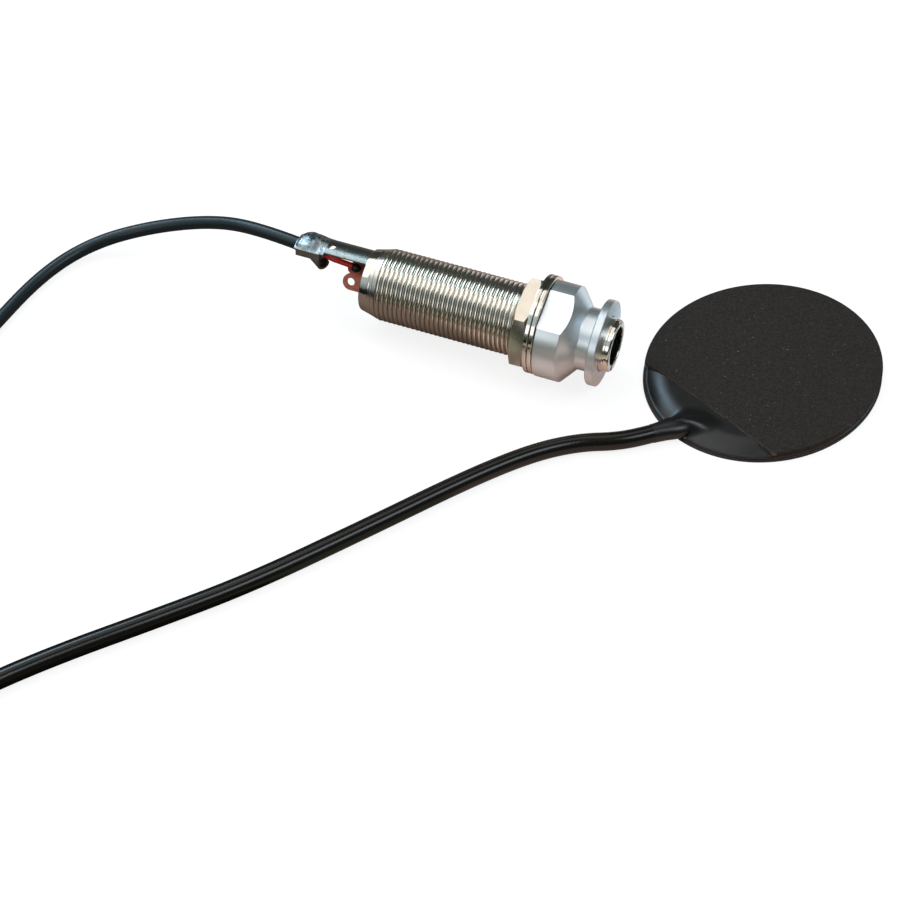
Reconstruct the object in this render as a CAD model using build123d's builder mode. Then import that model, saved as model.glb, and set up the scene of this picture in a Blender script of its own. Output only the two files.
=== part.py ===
"""Acoustic guitar pickup: a flat piezo contact sensor wired to an end pin strap jack.

The jack lies on its strap button with its axis along X and its mouth towards +X.
The origin is the centre of the plug bore's mouth. Everything rests on one flat
surface, which the strap button's base touches. Millimetres, +Z up.
"""
from build123d import *
import os
from math import atan2, cos, degrees, pi, radians, sin, sqrt, tan

# --- Fits between pieces ---------------------------------------------------------------------
THREAD_GAP = 0.05           # radial play of the nut and the button on the barrel
BUSH_GAP = 0.08             # radial play of the barrel's spigot in the button

# --- Barrel: one turned body, threaded outside, bored for a 1/4 inch plug --------------------
THREAD_R = 5.93             # 15/32 inch thread, major radius
THREAD_PITCH = 25.4 / 32
THREAD_DEPTH = 0.49
THREAD_START = 0.8          # the first crest stands this far in front of the collar
COLLAR_R = 5.05             # plain collar at the rear rim
COLLAR_FRONT_R = 5.35       # the collar widens a little towards the thread
BARREL_REAR = -42.0
COLLAR_LENGTH = 1.3
LEAD_IN_LENGTH = 2.0        # cone that starts the thread
RIM_ROUND = 0.16            # rolled edge of the rear rim
PLUG_R = 3.2                # plug bore
PLUG_BORE_LENGTH = 8.8
CHAMBER_R = 4.72            # room for the contacts behind the plug bore
SPIGOT_R = 4.42             # front spigot, which shows as the polished nose
SPIGOT_LENGTH = 7.6
NOSE_STEP_R = 4.25          # turned lip round the mouth
NOSE_STEP_LENGTH = 0.75
NOSE_ROUND = 0.35
NOSE_SLOT_WIDTH = 1.1       # screwdriver slots across the mouth
NOSE_SLOT_DEPTH = 0.8
NOSE_SLOT_ROLL = 145

# --- Strap button ----------------------------------------------------------------------------
BASE_R = 7.85
BUTTON_REAR = -11.45
BASE_LENGTH = 3.95
CONE_LENGTH = 2.3
NECK_R = 5.1
NECK_LENGTH = 1.37
FLANGE_R = 7.0
FLANGE_FRONT = -1.6
FLANGE_CHAMFER_R = 0.6      # radial reach of the slope behind the rim
FLANGE_CHAMFER_LENGTH = 1.1
EDGE_BREAK = 0.15
WRENCH_FLAT = 7.04          # distance of the two milled flats from the axis
WRENCH_FLAT_ROLL = 22.2

# --- Nut and washers -------------------------------------------------------------------------
WASHER_R = 8.05
WASHER_HOLE_R = 6.35
WASHER_THICKNESS = 0.82
WASHER_COUNT = 2
WASHER_SHIFT = 0.34         # they hang off centre by their play
WASHER_SHIFT_ROLL = -49
NUT_FLATS = 14.0
NUT_THICKNESS = 2.45
NUT_CORNER_ROLL = 45
NUT_CHAMFER = 0.45

# --- Ground tongue: one curled sheet ---------------------------------------------------------
SHEET = 0.42                # sheet thickness
TONGUE_REACH = 12.1         # how far it stands out of the rear rim
TONGUE_FAR_ROLL = -54
TONGUE_NEAR_ROLL = 16
TONGUE_CORNER = 3.0         # the far rear corner is rounded off, as seen from above
EYELET_R = 0.74
EYELET_REACH = 6.7
EYELET_Y = 0.4
FLAP_ROLL = 23.5            # beside the lead the sheet runs on to this roll, then folds down
FLAP_LAP = 1                # roll by which the flap's pieces lap into the sheet
FLAP_REACH = 8.0            # distance of its front end from the rear rim
FLAP_Y = -1.75
FLAP_Z = 3.0
CLAW_R = 0.88               # mid radius of the crimp claw, a trough that curls under the core
CLAW_REACH = 7.6            # centre of its front rim, behind the rear rim
CLAW_Y = -1.1
CLAW_Z = 1.78
CLAW_HEADING = -36          # it points forwards and outwards
CLAW_LENGTH = 2.5
CLAW_NEAR_RISE = 1.4        # the wall that hangs from the flap
CLAW_FAR_RISE = 0.02

# --- Insulators ------------------------------------------------------------------------------
WAFER_THICKNESS = 3.0
WAFER_RECESS = 0.8          # how far the rear wafer sits inside the rim
SPACER_LENGTH = 1.6
SPACER_WALL = 0.5
LINER_WALL = 0.25

# --- Contacts: sprung leaves whose tails are the solder lugs ---------------------------------
LEAF = 0.35                 # leaf thickness
LEAF_WIDTH = 2.3
LEAF_OFFSET = 3.5           # distance of a leaf from the axis, beside the plug
TIP_TOUCH = 16.6            # where the tip contact dips into the plug's groove, before the rear rim
RING_TOUCH = 23.0
TOUCH_DEPTH = 0.95
TOUCH_SLOPE = 2.6           # length of the dip's rear slope
TOUCH_LIP = 1.5             # length of the turned-up end
TOUCH_LIP_DROP = 0.1        # the end stays this far inside the leaf's line
LEAF_BEND_R = 0.6
LUG_WIDTH = 2.8
LUG_SHOULDER = 0.6          # length over which a lug widens from its leaf
LUG_HOLE_R = 0.66
TIP_LUG_REACH = 4.1         # how far each lug stands out of the rear rim
TIP_LUG_Z = 0.8
TIP_LUG_Y = 0.9
RING_LUG_REACH = 4.5
RING_LUG_ROLL = 64          # roll of the ring lug's face from the vertical
RING_LUG_SIDE = -1.2        # offset of the ring lug along its own face

# --- Sensor ----------------------------------------------------------------------------------
SENSOR_X = 21.65
SENSOR_Y = 10.11
SENSOR_R = 18.1             # across
SENSOR_STRETCH = 2.1        # the disc is oval: it reaches this much further along its neck
COVER_INSET = 0.17          # the cover's rim stands back from the base's
PAD_INSET = 0.08
BASE_SKIN = 0.3
BRASS_MARGIN = 0.7          # base left round the brass plate
BRASS_THICKNESS = 0.2
CERAMIC_R = 12.5
CERAMIC_THICKNESS = 0.22
COVER_THICKNESS = 0.75
PAD_THICKNESS = 0.75
PAD_CHORD = 13.0            # distance of the pad's straight edge from the centre
NECK_ANGLE = 244.5          # direction of the disc's long axis, towards the lead
EDGE_ROUND = 0.3
DOME_ROUND = 0.65           # the cover rises to the pad's level beside it and rounds down to its rim
NECK_LENGTH_OUT = 6.0       # length of the moulded neck along the lead
# The cover swells from the neck to the pad's straight edge. Each section has a
# half width, a half height and the height of its centre above the table.
NECK_END_SECTION = (1.64, 1.6, 1.55)
NECK_ROOT_REACH = 0.5       # past the rim
NECK_ROOT_SIDE = -0.75
NECK_ROOT_HEADING = 224
NECK_ROOT_SECTION = (2.05, 1.85, 1.5)
SWELL_SHARE = 0.58          # how far between the pad's edge and the rim this section stands
SWELL_HEADING = 237
SWELL_SECTION = (4.2, 1.7, 1.15)
CHORD_SECTION = (8.0, 0.8, 1.1)
POCKET_WIDTH = 3.4          # room for the soldered tails under the cover
POCKET_SIDE = 0.4
POCKET_ROOF = 0.2           # cover left above the pocket
POCKET_MARGIN = 0.25        # room past the joint on the ceramic
WELL_LENGTH = 3.2           # deeper part of the pocket, in front of the lead's end
WELL_DEPTH = 1.45
TAIL_R = 0.2                # stripped core and screen inside the sensor
TAIL_BEND_R = 1.0
CORE_TAIL_LEVEL = -0.15     # heights of the tails on the lead's end face
SCREEN_TAIL_LEVEL = -0.55
SCREEN_TAIL_SIDE = 0.5
JOINT_R = 0.75
JOINT_HEIGHT = 0.3
JOINT_MARGIN = 0.05         # the core's joint stands this far inside the ceramic's edge
JOINT_SPACING = 0.75        # and the screen's joint this far outside it
CORE_JOINT_SIDE = -0.5
SCREEN_JOINT_SIDE = 1.1

# --- Lead and its sleeve ---------------------------------------------------------------------
LEAD_R = 1.1
SLEEVE_R = 1.46
SLEEVE_BORE_R = 1.12
CORE_R = 0.48               # red insulated core
STRAND_R = 0.25
COIL_R = 12.25              # mean radius of the stored coil
COIL_LAYERS = 2
COIL_X = -86.7
COIL_Y = -98.4
ROUND_SHARE = 0.45          # share of the shorter run that a corner's arc takes
# The lead's first two points by the disc: reach past the rim, offset sideways, height above the table
NECK_POINTS = [(-2.27, 0.3, 1.75), (2.92, -1.99, 1.55)]
# Routes of the lead, as X, Y and height of its centre above the table
SENSOR_ROUTE = [
    (5.4, -13.4, 1.46), (-0.4, -15.9, 1.46),
    (-6.4, -20.6, 1.46), (-13.6, -29.2, 1.46), (-24.0, -43.8, 1.46), (-36.2, -60.5, 1.46),
    (-47.2, -72.7, 1.46), (-56.0, -82.2, 1.46), (-63.2, -91.0, 1.46), (-68.6, -99.2, 1.46),
    (-73.5, -106.2, 1.46), (-78.55, -108.85, 1.15),
]
JACK_ROUTE = [
    (-99.9, -98.4, 3.2), (-100.0, -90.9, 3.0), (-99.6, -81.5, 1.25), (-99.9, -66.5, 1.1),
    (-99.6, -46.0, 1.1), (-97.8, -27.0, 1.1), (-96.0, -12.0, 1.1), (-91.2, -2.6, 1.75),
    (-82.0, 1.9, 4.6), (-71.0, 2.9, 8.6),
]
# The lead's last two points: distance behind the rear rim, Y and Z
JACK_END_ROUTE = [(20.0, 1.4, 3.25), (12.3, 0.3, 3.35)]
SLEEVE_START = 1.2          # the sleeve stops this far short of the lead's end in the neck
SLEEVE_POINTS = 12          # route points that the sleeve covers
SLEEVE_END = 4.2            # how far it runs on past the last of them

# --- Solder and stripped ends at the jack ----------------------------------------------------
SOLDER_REACH = 7.35         # the solder stops at the eyelet
SOLDER_BUILD = 0.42         # thickness over the tongue
SOLDER_UNDER = 0.55         # and in the curl below it
SOLDER_FAR_ROLL = -42
SOLDER_NEAR_ROLL = 21
SOLDER_ROUND = 0.2
SOLDER_LIP = 0.3            # the solder wraps the tongue's end
CORE_DROP = 0.25
CORE_ROUTE = [(9.6, 0.3, 2.8), (6.3, 0.2, 2.15), (3.1, 0.35, 1.65)]     # behind the rear rim, Y and Z
STRAND_RISE = 0.62
STRAND_REACH = 8.4
STRIP_OVERLAP = 0.2         # core and strands are traced from inside the lead, then trimmed
LUG_SOLDER_R = 0.85
LUG_SOLDER_SHIFT = (0.1, -0.3)

TABLE_Z = -BASE_R
sensor_long_r = SENSOR_R + SENSOR_STRETCH
brass_r = SENSOR_R - BRASS_MARGIN


def polar(roll, radius):
    """Y and Z of a point round the jack's axis, at a roll from straight up towards -Y."""
    return (-radius * sin(radians(roll)), radius * cos(radians(roll)))


def roll_plane(x, roll, radius=0):
    """Plane whose normal is the outward radius at this roll, with its own X along the axis."""
    outward = polar(roll, 1)
    return Plane((x, outward[0] * radius, outward[1] * radius), x_dir=(1, 0, 0), z_dir=(0, *outward))


def sensor_point(reach, side=0, angle=NECK_ANGLE):
    """X and Y of a point on the sensor, by its reach from the centre and its offset sideways."""
    turn = radians(angle)
    return (
        SENSOR_X + reach * cos(turn) - side * sin(turn),
        SENSOR_Y + reach * sin(turn) + side * cos(turn),
    )


def behind_rim(route):
    """Route points given by their distance behind the rear rim, in the part's own frame."""
    return [(BARREL_REAR - reach, y, z) for reach, y, z in route]


def corner_radii(points):
    """Radius of the tangent arc at each inner corner of a route."""
    radii = []
    for before, corner, after in zip(points, points[1:], points[2:]):
        run_in = Vector(*corner) - Vector(*before)
        run_out = Vector(*after) - Vector(*corner)
        half_turn = radians(run_in.get_angle(run_out)) / 2
        radii.append(ROUND_SHARE * min(run_in.length, run_out.length) / tan(half_turn))
    return radii


def on_table(route):
    """Route points given with heights above the table, in the part's own frame."""
    return [(x, y, TABLE_Z + height) for x, y, height in route]


# --- Barrel ----------------------------------------------------------------------------------
collar_front = BARREL_REAR + COLLAR_LENGTH
wafer_seat = BARREL_REAR + WAFER_RECESS
nut_front = BUTTON_REAR - WASHER_COUNT * WASHER_THICKNESS
nut_rear = nut_front - NUT_THICKNESS


def crest_r(x):
    """Radius of the thread's crests, which rise along the lead-in cone."""
    share = min(1, (x - collar_front) / LEAD_IN_LENGTH)
    return COLLAR_FRONT_R + share * (THREAD_R - COLLAR_FRONT_R)


# The thread's grooves are plain rings at its pitch. Under the nut and the button it is left uncut.
thread_start = collar_front + THREAD_START
groove_count = int((nut_rear - thread_start) / THREAD_PITCH)
thread_outline = [(thread_start + groove_count * THREAD_PITCH, THREAD_R)]
for number in reversed(range(groove_count)):
    crest_x = thread_start + number * THREAD_PITCH
    thread_outline.append((crest_x + THREAD_PITCH / 2, THREAD_R - THREAD_DEPTH))
    thread_outline.append((crest_x, crest_r(crest_x)))
with BuildPart() as barrel:
    with BuildSketch(Plane.XZ):
        with BuildLine():
            Polyline(
                (0, PLUG_R), (0, NOSE_STEP_R), (-NOSE_STEP_LENGTH, NOSE_STEP_R),
                (-NOSE_STEP_LENGTH, SPIGOT_R), (-SPIGOT_LENGTH, SPIGOT_R), (-SPIGOT_LENGTH, THREAD_R),
                *thread_outline, (collar_front, COLLAR_FRONT_R), (BARREL_REAR, COLLAR_R),
                (BARREL_REAR, CHAMBER_R), (-PLUG_BORE_LENGTH, CHAMBER_R), (-PLUG_BORE_LENGTH, PLUG_R),
                close=True,
            )
        make_face()
    revolve(axis=Axis.X)
    circles = barrel.edges().filter_by(GeomType.CIRCLE)
    rear_rim = circles.filter_by(lambda e: abs(e.center().X - BARREL_REAR) < 0.01)
    fillet(rear_rim.sort_by(SortBy.RADIUS)[-1], RIM_ROUND)
    mouth = barrel.edges().filter_by(GeomType.CIRCLE).filter_by(lambda e: abs(e.center().X) < 0.01)
    fillet(mouth.sort_by(SortBy.RADIUS)[-1], NOSE_ROUND)
    with BuildSketch(roll_plane(0, NOSE_SLOT_ROLL)):
        with Locations((-NOSE_SLOT_DEPTH / 2, 0)):
            Rectangle(NOSE_SLOT_DEPTH, NOSE_SLOT_WIDTH)
    extrude(amount=2 * NOSE_STEP_R, both=True, mode=Mode.SUBTRACT)
barrel.part.label = "barrel"

# --- Strap button ----------------------------------------------------------------------------
cone_rear = BUTTON_REAR + BASE_LENGTH
neck_rear = cone_rear + CONE_LENGTH
flange_rear = neck_rear + NECK_LENGTH
with BuildPart() as strap_button:
    with BuildSketch(Plane.XZ):
        with BuildLine():
            Polyline(
                (BUTTON_REAR, THREAD_R + THREAD_GAP), (BUTTON_REAR, BASE_R - EDGE_BREAK),
                (BUTTON_REAR + EDGE_BREAK, BASE_R), (cone_rear, BASE_R), (neck_rear, NECK_R),
                (flange_rear, NECK_R), (flange_rear, FLANGE_R - FLANGE_CHAMFER_R),
                (flange_rear + FLANGE_CHAMFER_LENGTH, FLANGE_R), (FLANGE_FRONT - EDGE_BREAK, FLANGE_R),
                (FLANGE_FRONT, FLANGE_R - EDGE_BREAK), (FLANGE_FRONT, SPIGOT_R + BUSH_GAP),
                (-SPIGOT_LENGTH, SPIGOT_R + BUSH_GAP), (-SPIGOT_LENGTH, THREAD_R + THREAD_GAP),
                close=True,
            )
        make_face()
    revolve(axis=Axis.X)
    for side in (0, 180):
        with BuildSketch(roll_plane(BUTTON_REAR, WRENCH_FLAT_ROLL + side, WRENCH_FLAT)):
            Rectangle(4 * BASE_LENGTH, 2 * BASE_R)
        extrude(amount=BASE_R, mode=Mode.SUBTRACT)
strap_button.part.label = "strap_button"

# --- Washers and nut, run up behind the button -----------------------------------------------
washer_y, washer_z = polar(WASHER_SHIFT_ROLL, WASHER_SHIFT)
with BuildPart() as washers:
    for number in range(1, WASHER_COUNT + 1):
        with BuildSketch(Plane.YZ.offset(BUTTON_REAR - number * WASHER_THICKNESS)):
            with Locations((washer_y, washer_z)):
                Circle(WASHER_R)
                Circle(WASHER_HOLE_R, mode=Mode.SUBTRACT)
        extrude(amount=WASHER_THICKNESS)
washers.part.label = "washers"

with BuildPart() as hex_nut:
    with BuildSketch(Plane.YZ.offset(nut_rear)):
        RegularPolygon(NUT_FLATS / 2, 6, major_radius=False, rotation=90 + NUT_CORNER_ROLL)
        Circle(THREAD_R + THREAD_GAP, mode=Mode.SUBTRACT)
    extrude(amount=NUT_THICKNESS)
    with BuildSketch(Plane.XZ):
        corner_r = NUT_FLATS / sqrt(3)
        with BuildLine():
            Polyline(
                (nut_front, 0), (nut_front, corner_r - 2 * NUT_CHAMFER),
                (nut_front - NUT_CHAMFER, corner_r), (nut_rear + NUT_CHAMFER, corner_r),
                (nut_rear, corner_r - 2 * NUT_CHAMFER), (nut_rear, 0),
                close=True,
            )
        make_face()
    revolve(axis=Axis.X, mode=Mode.INTERSECT)
hex_nut.part.label = "hex_nut"

# --- Contacts: each leaf is bent in one plane and ends in a round solder lug -----------------
wafer_front = wafer_seat + 2 * WAFER_THICKNESS + SPACER_LENGTH
tip_lug_end = BARREL_REAR - TIP_LUG_REACH
ring_lug_end = BARREL_REAR - RING_LUG_REACH
bend_front = wafer_front + LEAF_OFFSET / 2


def leaf_path(tail_offset, touch_x):
    """Side view of a leaf from its lug to its sprung end, as X and distance from the axis."""
    return [
        (tip_lug_end + LUG_WIDTH, tail_offset), (wafer_front, tail_offset), (bend_front, LEAF_OFFSET),
        (touch_x - TOUCH_SLOPE, LEAF_OFFSET), (touch_x, LEAF_OFFSET - TOUCH_DEPTH),
        (touch_x + TOUCH_LIP, LEAF_OFFSET - TOUCH_LIP_DROP),
    ]


def contact(bend_plane, face_plane, tail_offset, lug_side, lug_end, touch_x):
    """A sprung contact: leaf traced in its bend plane, lug drawn on its face plane."""
    with BuildPart() as piece:
        with BuildSketch(bend_plane):
            with BuildLine() as side_view:
                FilletPolyline(*leaf_path(tail_offset, touch_x), radius=LEAF_BEND_R)
            trace(side_view.line, line_width=LEAF)
        extrude(amount=LEAF_WIDTH / 2, both=True)
        with BuildSketch(face_plane):
            with BuildLine():
                inner = wafer_seat
                neck_x = lug_end + LUG_WIDTH / 2
                half = LUG_WIDTH / 2
                Polyline(
                    (neck_x, lug_side + half), (inner - LUG_SHOULDER, lug_side + half),
                    (inner, lug_side + LEAF_WIDTH / 2), (inner, lug_side - LEAF_WIDTH / 2),
                    (inner - LUG_SHOULDER, lug_side - half), (neck_x, lug_side - half),
                )
                ThreePointArc((neck_x, lug_side - half), (lug_end, lug_side), (neck_x, lug_side + half))
            make_face()
            with Locations((neck_x, lug_side)):
                Circle(LUG_HOLE_R, mode=Mode.SUBTRACT)
        extrude(amount=LEAF / 2, both=True)
    return piece


tip_bend = Plane((0, TIP_LUG_Y, 0), x_dir=(1, 0, 0), z_dir=(0, -1, 0))
tip_face = Plane((0, 0, TIP_LUG_Z), x_dir=(1, 0, 0), z_dir=(0, 0, 1))
tip_contact = contact(tip_bend, tip_face, TIP_LUG_Z, TIP_LUG_Y, tip_lug_end, BARREL_REAR + TIP_TOUCH)
tip_contact.part.label = "tip_contact"

ring_normal = polar(RING_LUG_ROLL, 1)
ring_along = polar(RING_LUG_ROLL - 90, 1)
ring_bend = Plane(
    (0, ring_along[0] * RING_LUG_SIDE, ring_along[1] * RING_LUG_SIDE),
    x_dir=(1, 0, 0), z_dir=(0, *ring_along),
)
ring_face = Plane((0, 0, 0), x_dir=(1, 0, 0), z_dir=(0, *ring_normal))
ring_contact = contact(ring_bend, ring_face, 0, RING_LUG_SIDE, ring_lug_end, BARREL_REAR + RING_TOUCH)
ring_contact.part.label = "ring_contact"

# --- Ground tongue: a ring round the wafers, a long tongue and a crimp claw ------------------
ring_inner_r = CHAMBER_R - SHEET
tongue_end = BARREL_REAR - TONGUE_REACH
far_y = polar(TONGUE_FAR_ROLL, CHAMBER_R)[0]


def round_off(rear_x, corner_y):
    """Cuts a rear corner round, seen from above."""
    with BuildSketch(Plane.XY) as corner:
        with Locations((rear_x, corner_y)):
            Rectangle(TONGUE_CORNER, TONGUE_CORNER, align=(Align.MIN, Align.MAX))
        with Locations((rear_x + TONGUE_CORNER, corner_y - TONGUE_CORNER)):
            Circle(TONGUE_CORNER, mode=Mode.SUBTRACT)
    extrude(corner.sketch, amount=2 * CHAMBER_R, mode=Mode.SUBTRACT)


with BuildPart() as ground_tongue:
    with BuildSketch(Plane.YZ.offset(wafer_seat)):
        Circle(CHAMBER_R)
        Circle(ring_inner_r, mode=Mode.SUBTRACT)
    extrude(amount=wafer_front - wafer_seat)
    with BuildSketch(Plane.YZ.offset(tongue_end)):
        with BuildLine():
            sweep_angle = TONGUE_NEAR_ROLL - TONGUE_FAR_ROLL
            outer = CenterArc((0, 0), CHAMBER_R, 90 + TONGUE_FAR_ROLL, sweep_angle)
            inner = CenterArc((0, 0), ring_inner_r, 90 + TONGUE_FAR_ROLL, sweep_angle)
            Line(outer @ 0, inner @ 0)
            Line(outer @ 1, inner @ 1)
        make_face()
    extrude(amount=wafer_seat - tongue_end)
    round_off(tongue_end, far_y)
    with BuildSketch(Plane.YZ.offset(tongue_end)):
        with BuildLine():
            shelf_start = 90 + TONGUE_NEAR_ROLL - FLAP_LAP
            shelf_sweep = 90 + FLAP_ROLL - shelf_start
            outer = CenterArc((0, 0), CHAMBER_R, shelf_start, shelf_sweep)
            inner = CenterArc((0, 0), ring_inner_r, shelf_start, shelf_sweep)
            Line(outer @ 0, inner @ 0)
            Line(outer @ 1, inner @ 1)
        make_face()
        with BuildLine() as flap_line:
            Line(polar(FLAP_ROLL - 2 * FLAP_LAP, CHAMBER_R - SHEET / 2), (FLAP_Y, FLAP_Z))
        trace(flap_line.line, line_width=SHEET)
    extrude(amount=TONGUE_REACH - FLAP_REACH)
    claw_turn = radians(CLAW_HEADING)
    claw_plane = Plane(
        (BARREL_REAR - CLAW_REACH, CLAW_Y, CLAW_Z),
        x_dir=(-sin(claw_turn), cos(claw_turn), 0), z_dir=(cos(claw_turn), sin(claw_turn), 0),
    )
    with BuildSketch(claw_plane):
        with BuildLine() as claw_line:
            Line((-CLAW_R, CLAW_NEAR_RISE), (-CLAW_R, 0))
            CenterArc((0, 0), CLAW_R, 180, 180)
            Line((CLAW_R, 0), (CLAW_R, CLAW_FAR_RISE))
        trace(claw_line.line, line_width=SHEET)
    extrude(amount=-CLAW_LENGTH)
    with BuildSketch(Plane.XY.offset(FLAP_Z)):
        with Locations((BARREL_REAR - EYELET_REACH, EYELET_Y)):
            Circle(EYELET_R)
    extrude(amount=CHAMBER_R, mode=Mode.SUBTRACT)
ground_tongue.part.label = "ground_tongue"

# --- Insulators: two wafers and a spacer hold the tails, a liner keeps the leaves off the barrel ---
with BuildPart() as rear_wafer:
    with BuildSketch(Plane.YZ.offset(wafer_seat)):
        Circle(ring_inner_r)
    extrude(amount=WAFER_THICKNESS)
    add(tip_contact.part, mode=Mode.SUBTRACT)
    add(ring_contact.part, mode=Mode.SUBTRACT)
rear_wafer.part.label = "rear_wafer"

with BuildPart() as front_wafer:
    with BuildSketch(Plane.YZ.offset(wafer_front - WAFER_THICKNESS)):
        Circle(ring_inner_r)
    extrude(amount=WAFER_THICKNESS)
    add(tip_contact.part, mode=Mode.SUBTRACT)
    add(ring_contact.part, mode=Mode.SUBTRACT)
front_wafer.part.label = "front_wafer"

with BuildPart() as wafer_spacer:
    with BuildSketch(Plane.YZ.offset(wafer_seat + WAFER_THICKNESS)):
        Circle(ring_inner_r)
        Circle(ring_inner_r - SPACER_WALL, mode=Mode.SUBTRACT)
    extrude(amount=SPACER_LENGTH)
wafer_spacer.part.label = "wafer_spacer"

with BuildPart() as contact_liner:
    with BuildSketch(Plane.YZ.offset(wafer_front)):
        Circle(CHAMBER_R)
        Circle(CHAMBER_R - LINER_WALL, mode=Mode.SUBTRACT)
    extrude(amount=-PLUG_BORE_LENGTH - wafer_front)
contact_liner.part.label = "contact_liner"

# --- Lead: two free lengths and the stored coil between them ---------------------------------
neck_route = [(*sensor_point(sensor_long_r + reach, side), height) for reach, side, height in NECK_POINTS]
sensor_points = on_table(neck_route + SENSOR_ROUTE)
jack_points = on_table(JACK_ROUTE) + behind_rim(JACK_END_ROUTE)
sensor_radii = corner_radii(sensor_points)
jack_radii = corner_radii(jack_points)
print("sensor side arc radii", [round(radius, 1) for radius in sensor_radii])
print("jack side arc radii", [round(radius, 1) for radius in jack_radii])


def towards(start, end, distance):
    """The point at this distance from start on the line to end."""
    step = (Vector(*end) - Vector(*start)).normalized() * distance
    point = Vector(*start) + step
    return (point.X, point.Y, point.Z)


def tube(points, radii, radius, bore=0):
    """A tube along straight runs joined by tangent arcs."""
    with BuildPart() as piece:
        with BuildLine() as path:
            FilletPolyline(*points, radius=radii)
        route = path.wires()[0]
        with BuildSketch(Plane(route @ 0, z_dir=route % 0)):
            Circle(radius)
            if bore:
                Circle(bore, mode=Mode.SUBTRACT)
        sweep(path=route)
    length = route.length
    area = pi * (radius ** 2 - bore ** 2)
    share = piece.part.volume / (area * length)
    print(f"tube length {length:.1f}, volume over section x length {share:.4f}")
    return piece


coil_outer_r = COIL_R + COIL_LAYERS * LEAD_R
with BuildPart() as lead_coil:
    with BuildSketch(Plane.XY.offset(TABLE_Z)):
        with Locations((COIL_X, COIL_Y)):
            Circle(coil_outer_r)
            Circle(COIL_R - COIL_LAYERS * LEAD_R, mode=Mode.SUBTRACT)
    extrude(amount=2 * COIL_LAYERS * LEAD_R)
    chamfer(lead_coil.edges().group_by(Axis.Z)[-1], LEAD_R / 2)
lead_coil.part.label = "lead_coil"

sensor_run = tube(sensor_points, sensor_radii, LEAD_R)
with BuildPart() as lead_at_sensor:
    add(sensor_run.part)
    add(lead_coil.part, mode=Mode.SUBTRACT)
lead_at_sensor.part.label = "lead_at_sensor"

jack_run = tube(jack_points, jack_radii, LEAD_R)
with BuildPart() as lead_at_jack:
    add(jack_run.part)
    add(lead_coil.part, mode=Mode.SUBTRACT)
lead_at_jack.part.label = "lead_at_jack"

sleeve_points = [towards(sensor_points[0], sensor_points[1], SLEEVE_START)]
sleeve_points += sensor_points[1:SLEEVE_POINTS]
sleeve_points.append(towards(sensor_points[SLEEVE_POINTS - 1], sensor_points[SLEEVE_POINTS], SLEEVE_END))
lead_sleeve = tube(sleeve_points, sensor_radii[:SLEEVE_POINTS - 1], SLEEVE_R, SLEEVE_BORE_R)
lead_sleeve.part.label = "lead_sleeve"

# --- Jack wiring -----------------------------------------------------------------------------
lead_end = jack_points[-1]
core_start = (lead_end[0] - STRIP_OVERLAP, lead_end[1], lead_end[2] - CORE_DROP)
with BuildPart() as core_wire:
    with BuildLine() as core_path:
        FilletPolyline(core_start, *behind_rim(CORE_ROUTE), radius=5 * CORE_R)
    core_line = core_path.wires()[0]
    with BuildSketch(Plane(core_line @ 0, z_dir=core_line % 0)):
        Circle(CORE_R)
    sweep(path=core_line)
    add(lead_at_jack.part, mode=Mode.SUBTRACT)
core_wire.part.label = "core_wire"

with BuildPart() as screen_strands:
    with BuildSketch(Plane.YZ.offset(lead_end[0] - STRIP_OVERLAP)):
        with Locations((lead_end[1], lead_end[2] + STRAND_RISE)):
            Circle(STRAND_R)
    extrude(amount=BARREL_REAR - STRAND_REACH - lead_end[0] + STRIP_OVERLAP)
    add(lead_at_jack.part, mode=Mode.SUBTRACT)
screen_strands.part.label = "screen_strands"

with BuildPart() as tongue_solder:
    with BuildSketch(Plane.YZ.offset(tongue_end - SOLDER_LIP)):
        with BuildLine():
            solder_sweep = SOLDER_NEAR_ROLL - SOLDER_FAR_ROLL
            top = CenterArc((0, 0), CHAMBER_R + SOLDER_BUILD, 90 + SOLDER_FAR_ROLL, solder_sweep)
            under = CenterArc((0, 0), ring_inner_r - SOLDER_UNDER, 90 + SOLDER_FAR_ROLL, solder_sweep)
            Line(top @ 0, under @ 0)
            Line(top @ 1, under @ 1)
        make_face()
    extrude(amount=TONGUE_REACH - SOLDER_REACH + SOLDER_LIP)
    round_off(tongue_end - SOLDER_LIP, far_y)
    top_edges = tongue_solder.faces().sort_by(Axis.Z)[-1].edges()
    fillet(top_edges, SOLDER_ROUND)
    add(ground_tongue.part, mode=Mode.SUBTRACT)
    add(lead_at_jack.part, mode=Mode.SUBTRACT)
    add(screen_strands.part, mode=Mode.SUBTRACT)
    add(core_wire.part, mode=Mode.SUBTRACT)
tongue_solder.part.label = "tongue_solder"

with BuildPart() as lug_solder:
    joint_x = tip_lug_end + LUG_WIDTH / 2 + LUG_SOLDER_SHIFT[0]
    with Locations((joint_x, TIP_LUG_Y + LUG_SOLDER_SHIFT[1], TIP_LUG_Z + LEAF)):
        Sphere(LUG_SOLDER_R)
    add(tip_contact.part, mode=Mode.SUBTRACT)
    add(core_wire.part, mode=Mode.SUBTRACT)
lug_solder.part.label = "lug_solder"

# --- Sensor ----------------------------------------------------------------------------------
base_top = TABLE_Z + BASE_SKIN + BRASS_THICKNESS
cover_top = base_top + COVER_THICKNESS
pad_top = cover_top + PAD_THICKNESS
neck_run = Vector(*sensor_points[1]) - Vector(*sensor_points[0])
neck_heading = degrees(atan2(neck_run.Y, neck_run.X))
neck_end = towards(sensor_points[0], sensor_points[1], NECK_LENGTH_OUT)


def rim_outline(inset):
    """Oval plan of one layer of the disc."""
    with Locations((SENSOR_X, SENSOR_Y)):
        Ellipse(sensor_long_r - inset, SENSOR_R - inset, rotation=NECK_ANGLE)


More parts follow.
